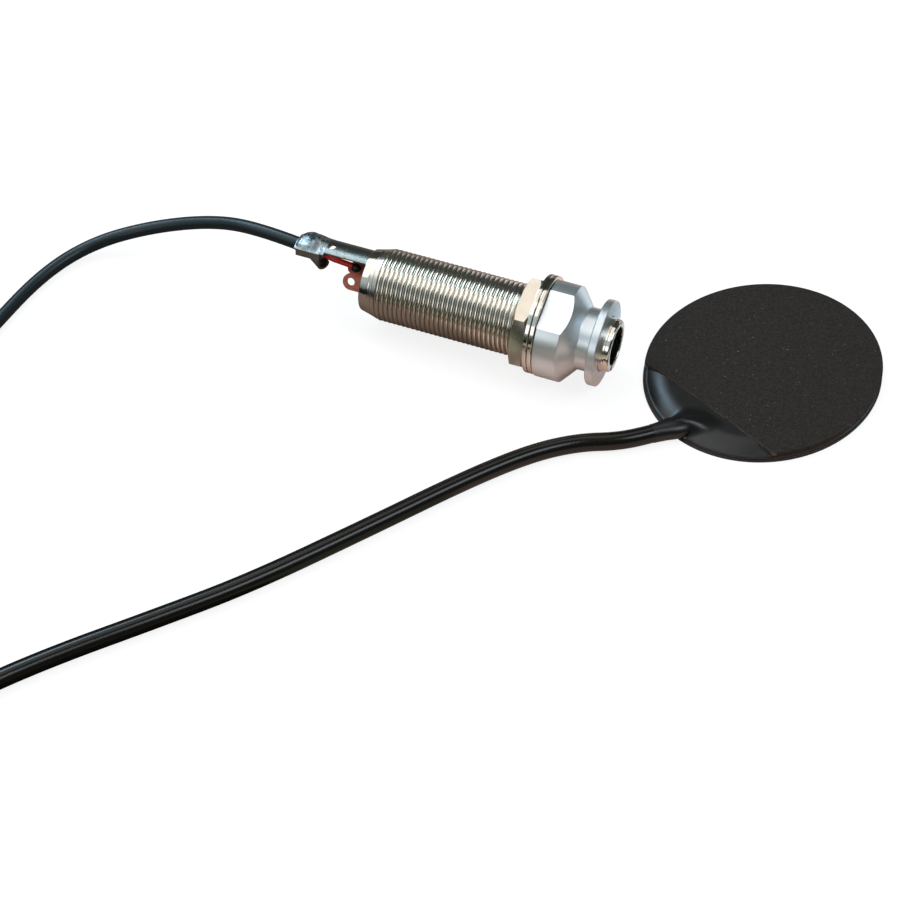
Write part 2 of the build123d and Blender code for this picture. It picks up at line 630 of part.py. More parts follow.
def section_plane(point, heading, height):
    """Upright plane across the neck, at a height above the table."""
    turn = radians(heading)
    return Plane(
        (point[0], point[1], TABLE_Z + height),
        x_dir=(-sin(turn), cos(turn), 0), z_dir=(cos(turn), sin(turn), 0),
    )


with BuildPart() as sensor_base:
    with BuildSketch(Plane.XY.offset(TABLE_Z)):
        rim_outline(0)
    extrude(amount=base_top - TABLE_Z)
    with BuildSketch(Plane.XY.offset(TABLE_Z + BASE_SKIN)):
        with Locations((SENSOR_X, SENSOR_Y)):
            Circle(brass_r)
    extrude(amount=BRASS_THICKNESS, mode=Mode.SUBTRACT)
    add(lead_sleeve.part, mode=Mode.SUBTRACT)
sensor_base.part.label = "sensor_base"

with BuildPart() as brass_plate:
    with BuildSketch(Plane.XY.offset(TABLE_Z + BASE_SKIN)):
        with Locations((SENSOR_X, SENSOR_Y)):
            Circle(brass_r)
    extrude(amount=BRASS_THICKNESS)
brass_plate.part.label = "brass_plate"

with BuildPart() as piezo_ceramic:
    with BuildSketch(Plane.XY.offset(base_top)):
        with Locations((SENSOR_X, SENSOR_Y)):
            Circle(CERAMIC_R)
    extrude(amount=CERAMIC_THICKNESS)
piezo_ceramic.part.label = "piezo_ceramic"

# --- Stripped ends of the lead inside the sensor, and their solder joints --------------------
sensor_end = sensor_points[0]
ceramic_top = base_top + CERAMIC_THICKNESS
core_joint = (CERAMIC_R - JOINT_R - JOINT_MARGIN, CORE_JOINT_SIDE)
screen_joint = (CERAMIC_R + JOINT_R + JOINT_SPACING, SCREEN_JOINT_SIDE)


def tail(start, joint, joint_level):
    """A stripped wire from the lead's end face down to its joint."""
    finish = sensor_point(joint[0], joint[1])
    knee = sensor_point(joint[0] + TAIL_BEND_R + JOINT_R, joint[1])
    with BuildPart() as piece:
        with BuildLine() as path:
            FilletPolyline(start, (*knee, joint_level), (*finish, joint_level), radius=TAIL_BEND_R)
        route = path.wires()[0]
        with BuildSketch(Plane(route @ 0, z_dir=route % 0)):
            Circle(TAIL_R)
        sweep(path=route)
        add(lead_at_sensor.part, mode=Mode.SUBTRACT)
    return piece


core_tail_start = towards(sensor_end, sensor_points[1], STRIP_OVERLAP)
core_tail_start = (core_tail_start[0], core_tail_start[1], sensor_end[2] + CORE_TAIL_LEVEL)
core_tail = tail(core_tail_start, core_joint, ceramic_top + TAIL_R)
core_tail.part.label = "core_tail"

screen_tail_xy = sensor_point(0, SCREEN_TAIL_SIDE)
screen_tail_start = (
    core_tail_start[0] + screen_tail_xy[0] - SENSOR_X,
    core_tail_start[1] + screen_tail_xy[1] - SENSOR_Y,
    sensor_end[2] + SCREEN_TAIL_LEVEL,
)
screen_tail = tail(screen_tail_start, screen_joint, base_top + TAIL_R)
screen_tail.part.label = "screen_tail"

with BuildPart() as sensor_joints:
    for joint, level in ((screen_joint, base_top), (core_joint, ceramic_top)):
        with BuildSketch(Plane.XY.offset(level)):
            with Locations(sensor_point(joint[0], joint[1])):
                Circle(JOINT_R)
        extrude(amount=JOINT_HEIGHT)
        chamfer(faces().sort_by(Axis.Z)[-1].edges(), JOINT_HEIGHT / 3)
    add(core_tail.part, mode=Mode.SUBTRACT)
    add(screen_tail.part, mode=Mode.SUBTRACT)
sensor_joints.part.label = "sensor_joints"

# --- Cover: a thin moulding that swells into the neck ----------------------------------------
swell_reach = PAD_CHORD + SWELL_SHARE * (sensor_long_r - PAD_CHORD)
neck_root = sensor_point(sensor_long_r + NECK_ROOT_REACH, NECK_ROOT_SIDE)
lead_end_reach = sensor_long_r + NECK_POINTS[0][0]
pocket_start = core_joint[0] - JOINT_R - POCKET_MARGIN
swell = [
    (neck_end, neck_heading, NECK_END_SECTION),
    (neck_root, NECK_ROOT_HEADING, NECK_ROOT_SECTION),
    (sensor_point(swell_reach), SWELL_HEADING, SWELL_SECTION),
    (sensor_point(PAD_CHORD), NECK_ANGLE, CHORD_SECTION),
]
with BuildPart() as sensor_cover:
    with BuildSketch(Plane.XY.offset(base_top)):
        rim_outline(COVER_INSET)
    extrude(amount=COVER_THICKNESS)
    fillet(sensor_cover.faces().sort_by(Axis.Z)[-1].edges(), EDGE_ROUND)
    with BuildSketch(Plane.XY.offset(cover_top)):
        rim_outline(COVER_INSET + EDGE_ROUND)
        with Locations(sensor_point(PAD_CHORD - sensor_long_r)):
            Rectangle(2 * sensor_long_r, 3 * sensor_long_r, rotation=NECK_ANGLE, mode=Mode.SUBTRACT)
    extrude(amount=PAD_THICKNESS)
    fillet(sensor_cover.faces().sort_by(Axis.Z)[-1].edges().sort_by(SortBy.LENGTH)[-1], DOME_ROUND)
    for point, heading, (half_width, half_height, height) in swell:
        with BuildSketch(section_plane(point, heading, height)):
            Ellipse(half_width, half_height)
    loft()
    with BuildSketch(Plane.XY.offset(TABLE_Z)):
        with Locations((SENSOR_X, SENSOR_Y)):
            Rectangle(4 * sensor_long_r, 4 * sensor_long_r)
    extrude(amount=-sensor_long_r, mode=Mode.SUBTRACT)
    with BuildSketch(Plane.XY.offset(TABLE_Z)):
        rim_outline(0)
    extrude(amount=base_top - TABLE_Z, mode=Mode.SUBTRACT)
    with BuildSketch(Plane.XY.offset(base_top)):
        with Locations((SENSOR_X, SENSOR_Y)):
            Circle(CERAMIC_R)
    extrude(amount=CERAMIC_THICKNESS, mode=Mode.SUBTRACT)
    with BuildSketch(Plane.XY.offset(base_top)):
        with Locations(sensor_point((pocket_start + lead_end_reach) / 2, POCKET_SIDE)):
            Rectangle(lead_end_reach - pocket_start, POCKET_WIDTH, rotation=NECK_ANGLE)
    extrude(amount=COVER_THICKNESS - POCKET_ROOF, mode=Mode.SUBTRACT)
    with BuildSketch(Plane.XY.offset(base_top)):
        with Locations(sensor_point(lead_end_reach - WELL_LENGTH / 2, POCKET_SIDE)):
            Rectangle(WELL_LENGTH, POCKET_WIDTH, rotation=NECK_ANGLE)
    extrude(amount=WELL_DEPTH, mode=Mode.SUBTRACT)
    for piece in (lead_sleeve, lead_at_sensor, core_tail, screen_tail):
        add(piece.part, mode=Mode.SUBTRACT)
sensor_cover.part.label = "sensor_cover"

with BuildPart() as adhesive_pad:
    with BuildSketch(Plane.XY.offset(cover_top)):
        rim_outline(PAD_INSET)
        with Locations(sensor_point(PAD_CHORD + sensor_long_r)):
            Rectangle(2 * sensor_long_r, 3 * sensor_long_r, rotation=NECK_ANGLE, mode=Mode.SUBTRACT)
    extrude(amount=PAD_THICKNESS)
    chamfer(adhesive_pad.faces().sort_by(Axis.Z)[-1].edges().sort_by(SortBy.LENGTH)[-1], EDGE_ROUND / 3)
adhesive_pad.part.label = "adhesive_pad"

os.makedirs("parts", exist_ok=True)
export_step(barrel.part, "parts/barrel.step")
export_step(strap_button.part, "parts/strap_button.step")
export_step(washers.part, "parts/washers.step")
export_step(hex_nut.part, "parts/hex_nut.step")
export_step(ground_tongue.part, "parts/ground_tongue.step")
export_step(rear_wafer.part, "parts/rear_wafer.step")
export_step(front_wafer.part, "parts/front_wafer.step")
export_step(wafer_spacer.part, "parts/wafer_spacer.step")
export_step(contact_liner.part, "parts/contact_liner.step")
export_step(tip_contact.part, "parts/tip_contact.step")
export_step(ring_contact.part, "parts/ring_contact.step")
export_step(lead_coil.part, "parts/lead_coil.step")
export_step(lead_at_sensor.part, "parts/lead_at_sensor.step")
export_step(lead_at_jack.part, "parts/lead_at_jack.step")
export_step(lead_sleeve.part, "parts/lead_sleeve.step")
export_step(core_wire.part, "parts/core_wire.step")
export_step(screen_strands.part, "parts/screen_strands.step")
export_step(tongue_solder.part, "parts/tongue_solder.step")
export_step(lug_solder.part, "parts/lug_solder.step")
export_step(sensor_base.part, "parts/sensor_base.step")
export_step(brass_plate.part, "parts/brass_plate.step")
export_step(piezo_ceramic.part, "parts/piezo_ceramic.step")
export_step(core_tail.part, "parts/core_tail.step")
export_step(screen_tail.part, "parts/screen_tail.step")
export_step(sensor_joints.part, "parts/sensor_joints.step")
export_step(sensor_cover.part, "parts/sensor_cover.step")
export_step(adhesive_pad.part, "parts/adhesive_pad.step")
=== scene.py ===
"""Looks, light and camera of the acoustic guitar pickup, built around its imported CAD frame.

Every mesh is shaped in millimetres in the part's own frame: the jack's axis is X and
its mouth faces +X, Z is up, and a roll is counted from straight up towards -Y.
"""
import logging
from dataclasses import dataclass, field
from enum import Enum
from math import cos, pi, radians, sin, sqrt

import bmesh
import bpy
from mathutils import Matrix, Vector


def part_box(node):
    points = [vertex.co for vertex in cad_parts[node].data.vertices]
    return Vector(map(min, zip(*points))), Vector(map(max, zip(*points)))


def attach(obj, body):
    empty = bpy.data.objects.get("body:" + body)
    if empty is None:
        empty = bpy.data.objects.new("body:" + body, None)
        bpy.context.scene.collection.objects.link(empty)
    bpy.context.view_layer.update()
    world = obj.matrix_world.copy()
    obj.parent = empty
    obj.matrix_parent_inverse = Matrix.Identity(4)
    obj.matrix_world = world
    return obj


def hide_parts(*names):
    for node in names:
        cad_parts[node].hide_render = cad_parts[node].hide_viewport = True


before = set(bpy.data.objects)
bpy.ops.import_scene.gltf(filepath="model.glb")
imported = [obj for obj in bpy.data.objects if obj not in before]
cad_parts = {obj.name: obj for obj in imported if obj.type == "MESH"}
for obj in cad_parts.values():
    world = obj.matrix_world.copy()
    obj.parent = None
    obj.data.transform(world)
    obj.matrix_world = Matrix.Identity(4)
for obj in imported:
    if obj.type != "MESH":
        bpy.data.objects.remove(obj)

logging.basicConfig(level=logging.INFO, format="%(message)s")
log = logging.getLogger("pickup")

MM = 0.001
BODY = "root"
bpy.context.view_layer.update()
# Distances in millimetres under which two points, or a point and a plane, count as one.
WELD = 1e-4
HAIR = 1e-5
ON_PLANE = 1e-6
# A noise node's values spread this far from 0.5, and nearly all of them lie between these two.
NOISE_SPREAD = 0.35
NOISE_LOW, NOISE_HIGH = 0.3, 0.7


# ---------------- measures ----------------


def extent(node: str) -> tuple[Vector, Vector]:
    """Lowest and highest corner of a CAD node.

    Args:
        node: The node's name.

    Returns:
        Both corners, in millimetres.
    """
    low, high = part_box(node)
    return Vector(low) / MM, Vector(high) / MM


TABLE_Z = extent("sensor_base")[0].z
BARREL_REAR = extent("barrel")[0].x
BUTTON_LOW, BUTTON_HIGH = extent("strap_button")
NUT_LOW, NUT_HIGH = extent("hex_nut")
WASHERS_LOW, WASHERS_HIGH = extent("washers")


def polar(roll: float, radius: float) -> tuple[float, float]:
    """Y and Z of a point round the jack's axis, at a roll from straight up towards -Y."""
    return (-radius * sin(radians(roll)), radius * cos(radians(roll)))


def smooth_step(low: float, high: float, value: float) -> float:
    """Goes smoothly from 0 at low to 1 at high."""
    share = min(1.0, max(0.0, (value - low) / (high - low)))
    return share * share * (3 - 2 * share)


# ---------------- finishes ----------------


def linear(colour: str) -> tuple[float, float, float, float]:
    """Linear RGBA of an sRGB hex colour such as "#aabbcc"."""
    channels = [int(colour[i:i + 2], 16) / 255 for i in (1, 3, 5)]
    curved = [c / 12.92 if c <= 0.04045 else ((c + 0.055) / 1.055) ** 2.4 for c in channels]
    return (curved[0], curved[1], curved[2], 1.0)


def add_node(tree: bpy.types.NodeTree, kind: str, settings: dict | None = None, **links) -> bpy.types.Node:
    """Adds one shader node.

    Args:
        tree: The material's node tree.
        kind: Node type, such as "ShaderNodeTexNoise".
        settings: Values by attribute or by input name.
        **links: Output sockets by input name, with _ for a blank.

    Returns:
        The new node.
    """
    node = tree.nodes.new(kind)
    for name, value in (settings or {}).items():
        if name in node.inputs:
            node.inputs[name].default_value = value
        else:
            setattr(node, name, value)
    for name, socket in links.items():
        tree.links.new(socket, node.inputs[name.replace("_", " ")])
    return node


def blend_colours(
    tree: bpy.types.NodeTree, share: bpy.types.NodeSocket, first: str | bpy.types.NodeSocket, second: str,
) -> bpy.types.NodeSocket:
    """Mixes a colour, given as a hex colour or as a socket, with a second one.

    Args:
        tree: The node tree.
        share: Socket that says how much of the second colour shows.
        first: The colour below.
        second: The colour on top.

    Returns:
        The socket of the mixed colour.
    """
    node = add_node(tree, "ShaderNodeMix", {"data_type": "RGBA"})
    inputs = {socket.identifier: socket for socket in node.inputs}
    outputs = {socket.identifier: socket for socket in node.outputs}
    tree.links.new(share, inputs["Factor_Float"])
    if isinstance(first, str):
        inputs["A_Color"].default_value = linear(first)
    else:
        tree.links.new(first, inputs["A_Color"])
    inputs["B_Color"].default_value = linear(second)
    return outputs["Result_Color"]


def choose(
    tree: bpy.types.NodeTree, share: bpy.types.NodeSocket, other: bpy.types.Node, chosen: bpy.types.Node,
) -> bpy.types.Node:
    """Mixes two shaders: the other one where the share is 0, the chosen one where it is 1."""
    mix = add_node(tree, "ShaderNodeMixShader", Fac=share)
    tree.links.new(other.outputs[0], mix.inputs[1])
    tree.links.new(chosen.outputs[0], mix.inputs[2])
    return mix


def product(
    tree: bpy.types.NodeTree, first: bpy.types.NodeSocket, second: bpy.types.NodeSocket,
) -> bpy.types.NodeSocket:
    """The product of two shares."""
    node = add_node(tree, "ShaderNodeMath", {"operation": "MULTIPLY"})
    tree.links.new(first, node.inputs[0])
    tree.links.new(second, node.inputs[1])
    return node.outputs[0]


def ramp(
    tree: bpy.types.NodeTree, value: bpy.types.NodeSocket, ends: tuple[float, float],
) -> bpy.types.NodeSocket:
    """A share that rises from 0 at the first place to 1 at the second, both in millimetres."""
    settings = {"From Min": ends[0] * MM, "From Max": ends[1] * MM}
    return add_node(tree, "ShaderNodeMapRange", settings, Value=value).outputs["Result"]


class Grain(Enum):
    """Direction of a pattern: even, or drawn out round the jack's axis by a turning tool."""

    EVEN = (1.0, 1.0, 1.0)
    TURNED = (1.0, 0.03, 0.03)


@dataclass(frozen=True)
class Layer:
    """One patchy colour over the base colour. Its size is in millimetres."""

    colour: str
    size_mm: float
    cover: float = 0.5
    softness: float = 0.12
    grain: Grain = Grain.EVEN

    def mask(self, tree: bpy.types.NodeTree, place: bpy.types.NodeSocket) -> tuple:
        """Adds the layer's noise.

        Args:
            tree: The material's node tree.
            place: Object coordinates.

        Returns:
            The mask's socket and the bare noise's socket.
        """
        stretched = add_node(tree, "ShaderNodeMapping", {"Scale": self.grain.value}, Vector=place).outputs[0]
        noise = add_node(
            tree, "ShaderNodeTexNoise", {"Scale": 1 / (self.size_mm * MM), "Detail": 3.0, "Roughness": 0.6},
            Vector=stretched,
        ).outputs["Fac"]
        middle = 0.5 + NOISE_SPREAD * (0.5 - self.cover)
        mask = add_node(
            tree, "ShaderNodeMapRange",
            {"From Min": middle - self.softness / 2, "From Max": middle + self.softness / 2}, Value=noise,
        ).outputs["Result"]
        return mask, noise


@dataclass(frozen=True)
class Finish:
    """One real surface and how it is drawn."""

    name: str
    slot: str
    colour: str
    metallic: float = 0.0
    roughness: float = 0.4
    ior: float = 1.5
    layers: tuple[Layer, ...] = ()
    relief_mm: float = 0.0
    rough_spread: float = 0.0

    def build(self) -> bpy.types.Material:
        """Makes the material, or returns it if it is there already."""
        found = bpy.data.materials.get(self.name)
        if found:
            return found
        material = bpy.data.materials.new(self.name)
        material.use_nodes = True
        tree = material.node_tree
        shader = tree.nodes["Principled BSDF"]
        shader.inputs["Base Color"].default_value = linear(self.colour)
        shader.inputs["Metallic"].default_value = self.metallic
        shader.inputs["Roughness"].default_value = self.roughness
        if not self.metallic:
            shader.inputs["IOR"].default_value = self.ior
        if self.layers:
            self._vary(tree, shader)
        return material

    def _vary(self, tree: bpy.types.NodeTree, shader: bpy.types.Node) -> None:
        """Lays the patchy colours over the base colour, and lets the first one move the surface."""
        place = add_node(tree, "ShaderNodeTexCoord").outputs["Object"]
        colour = self.colour
        noises = []
        for layer in self.layers:
            mask, noise = layer.mask(tree, place)
            colour = blend_colours(tree, mask, colour, layer.colour)
            noises.append(noise)
        tree.links.new(colour, shader.inputs["Base Color"])
        if self.rough_spread:
            spread = self.rough_spread
            rough = add_node(
                tree, "ShaderNodeMapRange",
                {
                    "From Min": NOISE_LOW, "From Max": NOISE_HIGH,
                    "To Min": self.roughness - spread, "To Max": self.roughness + spread,
                },
                Value=noises[0],
            ).outputs["Result"]
            tree.links.new(rough, shader.inputs["Roughness"])
        if self.relief_mm:
            bump = add_node(
                tree, "ShaderNodeBump", {"Strength": 1.0, "Distance": self.relief_mm * MM}, Height=noises[0]
            )
            tree.links.new(bump.outputs["Normal"], shader.inputs["Normal"])


# Bright nickel over turned brass: a warm white mirror whose gloss is slightly uneven.
NICKEL_PLATE = Finish(
    "nickel_plated_brass", "nickel_plate", "#e4ddd3", metallic=1.0, roughness=0.11,
    layers=(Layer("#d9d1c6", 2.5, softness=0.4),), rough_spread=0.02,
)
# The same plate over the thread, where it is a little duller.
THREAD_PLATE = Finish("nickel_plated_thread", "nickel_plate", "#e0d9ce", metallic=1.0, roughness=0.19)
# Turned aluminium: a cooler white than nickel and duller, with fine rings that the tool left.
TURNED_ALUMINIUM = Finish(
    "turned_aluminium", "turned_aluminium", "#e9edf1", metallic=1.0, roughness=0.18,
    layers=(Layer("#dde3e8", 0.16, grain=Grain.TURNED),), rough_spread=0.06, relief_mm=0.001,
)
# Milled aluminium: the flats catch the light evenly, without rings.
MILLED_ALUMINIUM = Finish("milled_aluminium", "turned_aluminium", "#e7eaee", metallic=1.0, roughness=0.38)
# Tinned brass sheet: grey and half bright, dulled by handling and by the heat of the joint.
TINNED_SHEET = Finish(
    "tinned_brass_sheet", "tinned_sheet", "#989f9b", metallic=1.0, roughness=0.27,
    layers=(Layer("#838a86", 2.2, softness=0.3), Layer("#7b6f5c", 0.5, cover=0.1, softness=0.08)),
    rough_spread=0.06,
)
# Stamped lugs: matte, warm and slightly uneven. Their red-brown is partly their own copper tone and partly a
# painted reflection of the reddish floor that they face in shade.
LUG_BRASS = Finish(
    "lug_brass_painted_reflection", "lug_brass", "#c67565", metallic=0.3, roughness=0.5,
    layers=(Layer("#b56656", 0.7, softness=0.3),), rough_spread=0.06,
)
# Pressed phenolic laminate, a dull brown.
PHENOLIC = Finish("phenolic_laminate", "phenolic", "#5b3a25", roughness=0.6, ior=1.55)
# Tin and lead solder: frozen in frosted blue-grey puddles, with bright spots and amber flux.
SOLDER = Finish(
    "tin_lead_solder", "solder", "#8b9ba4", metallic=1.0, roughness=0.36,
    layers=(
        Layer("#c6cfd3", 0.8, cover=0.42, softness=0.16), Layer("#66737a", 0.6, cover=0.26, softness=0.1),
        Layer("#b59a52", 0.4, cover=0.16, softness=0.05),
    ),
    rough_spread=0.1, relief_mm=0.09,
)
# Flux and heat have turned this joint dark.
BURNT_SOLDER = Finish(
    "burnt_solder_joint", "solder", "#151412", metallic=0.2, roughness=0.34,
    layers=(Layer("#3a302a", 0.45, cover=0.3),), relief_mm=0.05,
)
# Soft vinyl, extruded smooth, blue-black.
LEAD_JACKET = Finish("lead_vinyl", "lead_jacket", "#121f23", roughness=0.36, ior=1.42)
# Heat shrunk tube: harder and glossier than the lead, and a warmer black.
SLEEVE_JACKET = Finish("heat_shrunk_tube", "sleeve_jacket", "#110f0c", roughness=0.2, ior=1.4)
# Red vinyl on the core.
CORE_RED = Finish("red_vinyl", "core_red", "#c4161f", roughness=0.35, ior=1.45)
# Tinned copper strands.
STRANDS = Finish("tinned_copper", "tinned_strands", "#c3b8ab", metallic=1.0, roughness=0.3)
# Rolled brass under the ceramic.
DISC_BRASS = Finish("rolled_brass", "disc_brass", "#d8b25a", metallic=1.0, roughness=0.3)
# Fired and silvered ceramic.
CERAMIC = Finish("silvered_ceramic", "ceramic", "#d9d3c6", roughness=0.55)
# Moulded black vinyl: satin, with the soft sheen of a surface that was never polished.
SENSOR_MOULDING = Finish(
    "black_moulding", "sensor_moulding", "#121110", roughness=0.33, ior=1.48,
    layers=(Layer("#0f0e0e", 1.4, softness=0.3),), rough_spread=0.03,
)
# Matt black adhesive pad: fine grain with a few pale paper flecks.
PAD_FOAM = Finish(
    "adhesive_pad", "pad_foam", "#211c19", roughness=0.8, ior=1.25,
    layers=(Layer("#2b2724", 0.35, softness=0.2), Layer("#6b6157", 0.4, cover=-0.12, softness=0.04)),
    relief_mm=0.008,
)
# The pad's cut edge shows its paler inside.
PAD_CUT = Finish(
    "adhesive_pad_cut", "pad_foam", "#4c4139", roughness=0.8, ior=1.3,
    layers=(Layer("#3a322d", 1.6, cover=0.55, softness=0.1),),
)


# ---------------- mesh helpers ----------------


@dataclass(frozen=True)
class Corner:
    """A point of a section, at X and distance from the axis, with the radius that rounds it."""

    x: float
    r: float
    rounding: float = 0.0


def section_ring(mesh: bmesh.types.BMesh, corners: list[Corner], steps: int = 3) -> list[bmesh.types.BMEdge]:
    """Draws a closed section in the XZ plane and rounds its corners.

    Args:
        mesh: The mesh to draw in.
        corners: The section's corners in order.
        steps: Segments in each rounding.

    Returns:
        The section's edges.
    """
    verts = [mesh.verts.new((corner.x, 0, corner.r)) for corner in corners]
    mesh.faces.new(verts)
    for vert, corner in zip(verts, corners):
        if corner.rounding:
            bmesh.ops.bevel(
                mesh, geom=[vert], offset=corner.rounding, offset_type="OFFSET", segments=steps,
                profile=0.5, affect="VERTICES", clamp_overlap=True, material=-1,
            )
    face = [f for f in mesh.faces if all(abs(v.co.y) < ON_PLANE for v in f.verts)][-1]
    edges = list(face.edges)
    bmesh.ops.delete(mesh, geom=[face], context="FACES_ONLY")
    return edges


def spin(
    mesh: bmesh.types.BMesh, section: list, angle: float, steps: int, merge: bool = False,
    axis: tuple[float, float, float] = (1, 0, 0), rise: tuple[float, float, float] = (0, 0, 0),
) -> None:
    """Sweeps a section round an axis through the origin, with a rise at each step for a helix."""
    bmesh.ops.spin(
        mesh, geom=section, cent=(0, 0, 0), axis=axis, dvec=rise, angle=angle, steps=steps,
        use_merge=merge, use_normal_flip=False, use_duplicate=False,
    )


def turn(mesh: bmesh.types.BMesh, edges: list[bmesh.types.BMEdge], steps: int = 128) -> None:
    """Turns a section right round the jack's axis."""
    verts = list({vert for edge in edges for vert in edge.verts})
    spin(mesh, verts + edges, 2 * pi, steps, merge=True)


def turn_part(
    mesh: bmesh.types.BMesh, edges: list[bmesh.types.BMEdge], from_roll: float, sweep: float, steps: int,
) -> None:
    """Turns a section part of the way round, and closes both ends."""
    verts = list({vert for edge in edges for vert in edge.verts})
    bmesh.ops.rotate(mesh, cent=(0, 0, 0), matrix=Matrix.Rotation(radians(from_roll), 3, "X"), verts=verts)
    spin(mesh, verts + edges, radians(sweep), steps)
    open_edges = [edge for edge in mesh.edges if edge.is_boundary]
    bmesh.ops.holes_fill(mesh, edges=open_edges, sides=0)


def mill_flat(mesh: bmesh.types.BMesh, roll: float, reach: float) -> list[bmesh.types.BMFace]:
    """Mills a flat on a closed turned body.

    Args:
        mesh: The turned body.
        roll: Roll of the flat's outward normal.
        reach: Distance of the flat from the axis.

    Returns:
        The flat's faces.
    """
    normal = Vector((0, *polar(roll, 1)))
    cut = bmesh.ops.bisect_plane(
        mesh, geom=mesh.verts[:] + mesh.edges[:] + mesh.faces[:], plane_co=normal * reach,
        plane_no=normal, clear_outer=True, dist=HAIR,
    )
    rim = [item for item in cut["geom_cut"] if isinstance(item, bmesh.types.BMEdge)]
    return bmesh.ops.contextual_create(mesh, geom=rim)["faces"]


def new_object(name: str, data: bpy.types.ID) -> bpy.types.Object:
    """Puts a new object into the scene."""
    item = bpy.data.objects.new(name, data)
    bpy.context.scene.collection.objects.link(item)
    return item


def piece(
    name: str, mesh: bmesh.types.BMesh, finish: Finish, replaces: tuple[str, ...] = (), sharp: float = 32,
    second: Finish | None = None,
) -> bpy.types.Object:
    """Makes a finished piece from a mesh in millimetres.

    Args:
        name: The piece's name.
        mesh: Its mesh, which is freed.
        finish: Its finish.
        replaces: CAD nodes that it stands for.
        sharp: Angle in degrees from which an edge stays sharp.
        second: Finish of the faces whose material index is 1.

    Returns:
        The new object.
    """
    bmesh.ops.remove_doubles(mesh, verts=mesh.verts[:], dist=WELD)
    bmesh.ops.recalc_face_normals(mesh, faces=mesh.faces[:])
    bmesh.ops.scale(mesh, vec=(MM, MM, MM), verts=mesh.verts[:])
    for face in mesh.faces:
        face.smooth = True
    data = bpy.data.meshes.new(name)
    mesh.to_mesh(data)
    mesh.free()
    data.set_sharp_from_angle(angle=radians(sharp))
    item = new_object(name, data)
    data.materials.append(finish.build())
    if second:
        data.materials.append(second.build())
    settle(item, replaces)
    return item


def settle(item: bpy.types.Object, replaces: tuple[str, ...] = ()) -> None:
    """Lets a piece ride and hides the CAD nodes that it stands for."""
    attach(item, BODY)
    if replaces:
        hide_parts(*replaces)
    log.info("piece %s", item.name)


def dress(node: str, finish: Finish) -> None:
    """Gives a CAD node its finish."""
    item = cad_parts[node]
    item.data.materials.clear()
    item.data.materials.append(finish.build())


# ---------------- jack ----------------


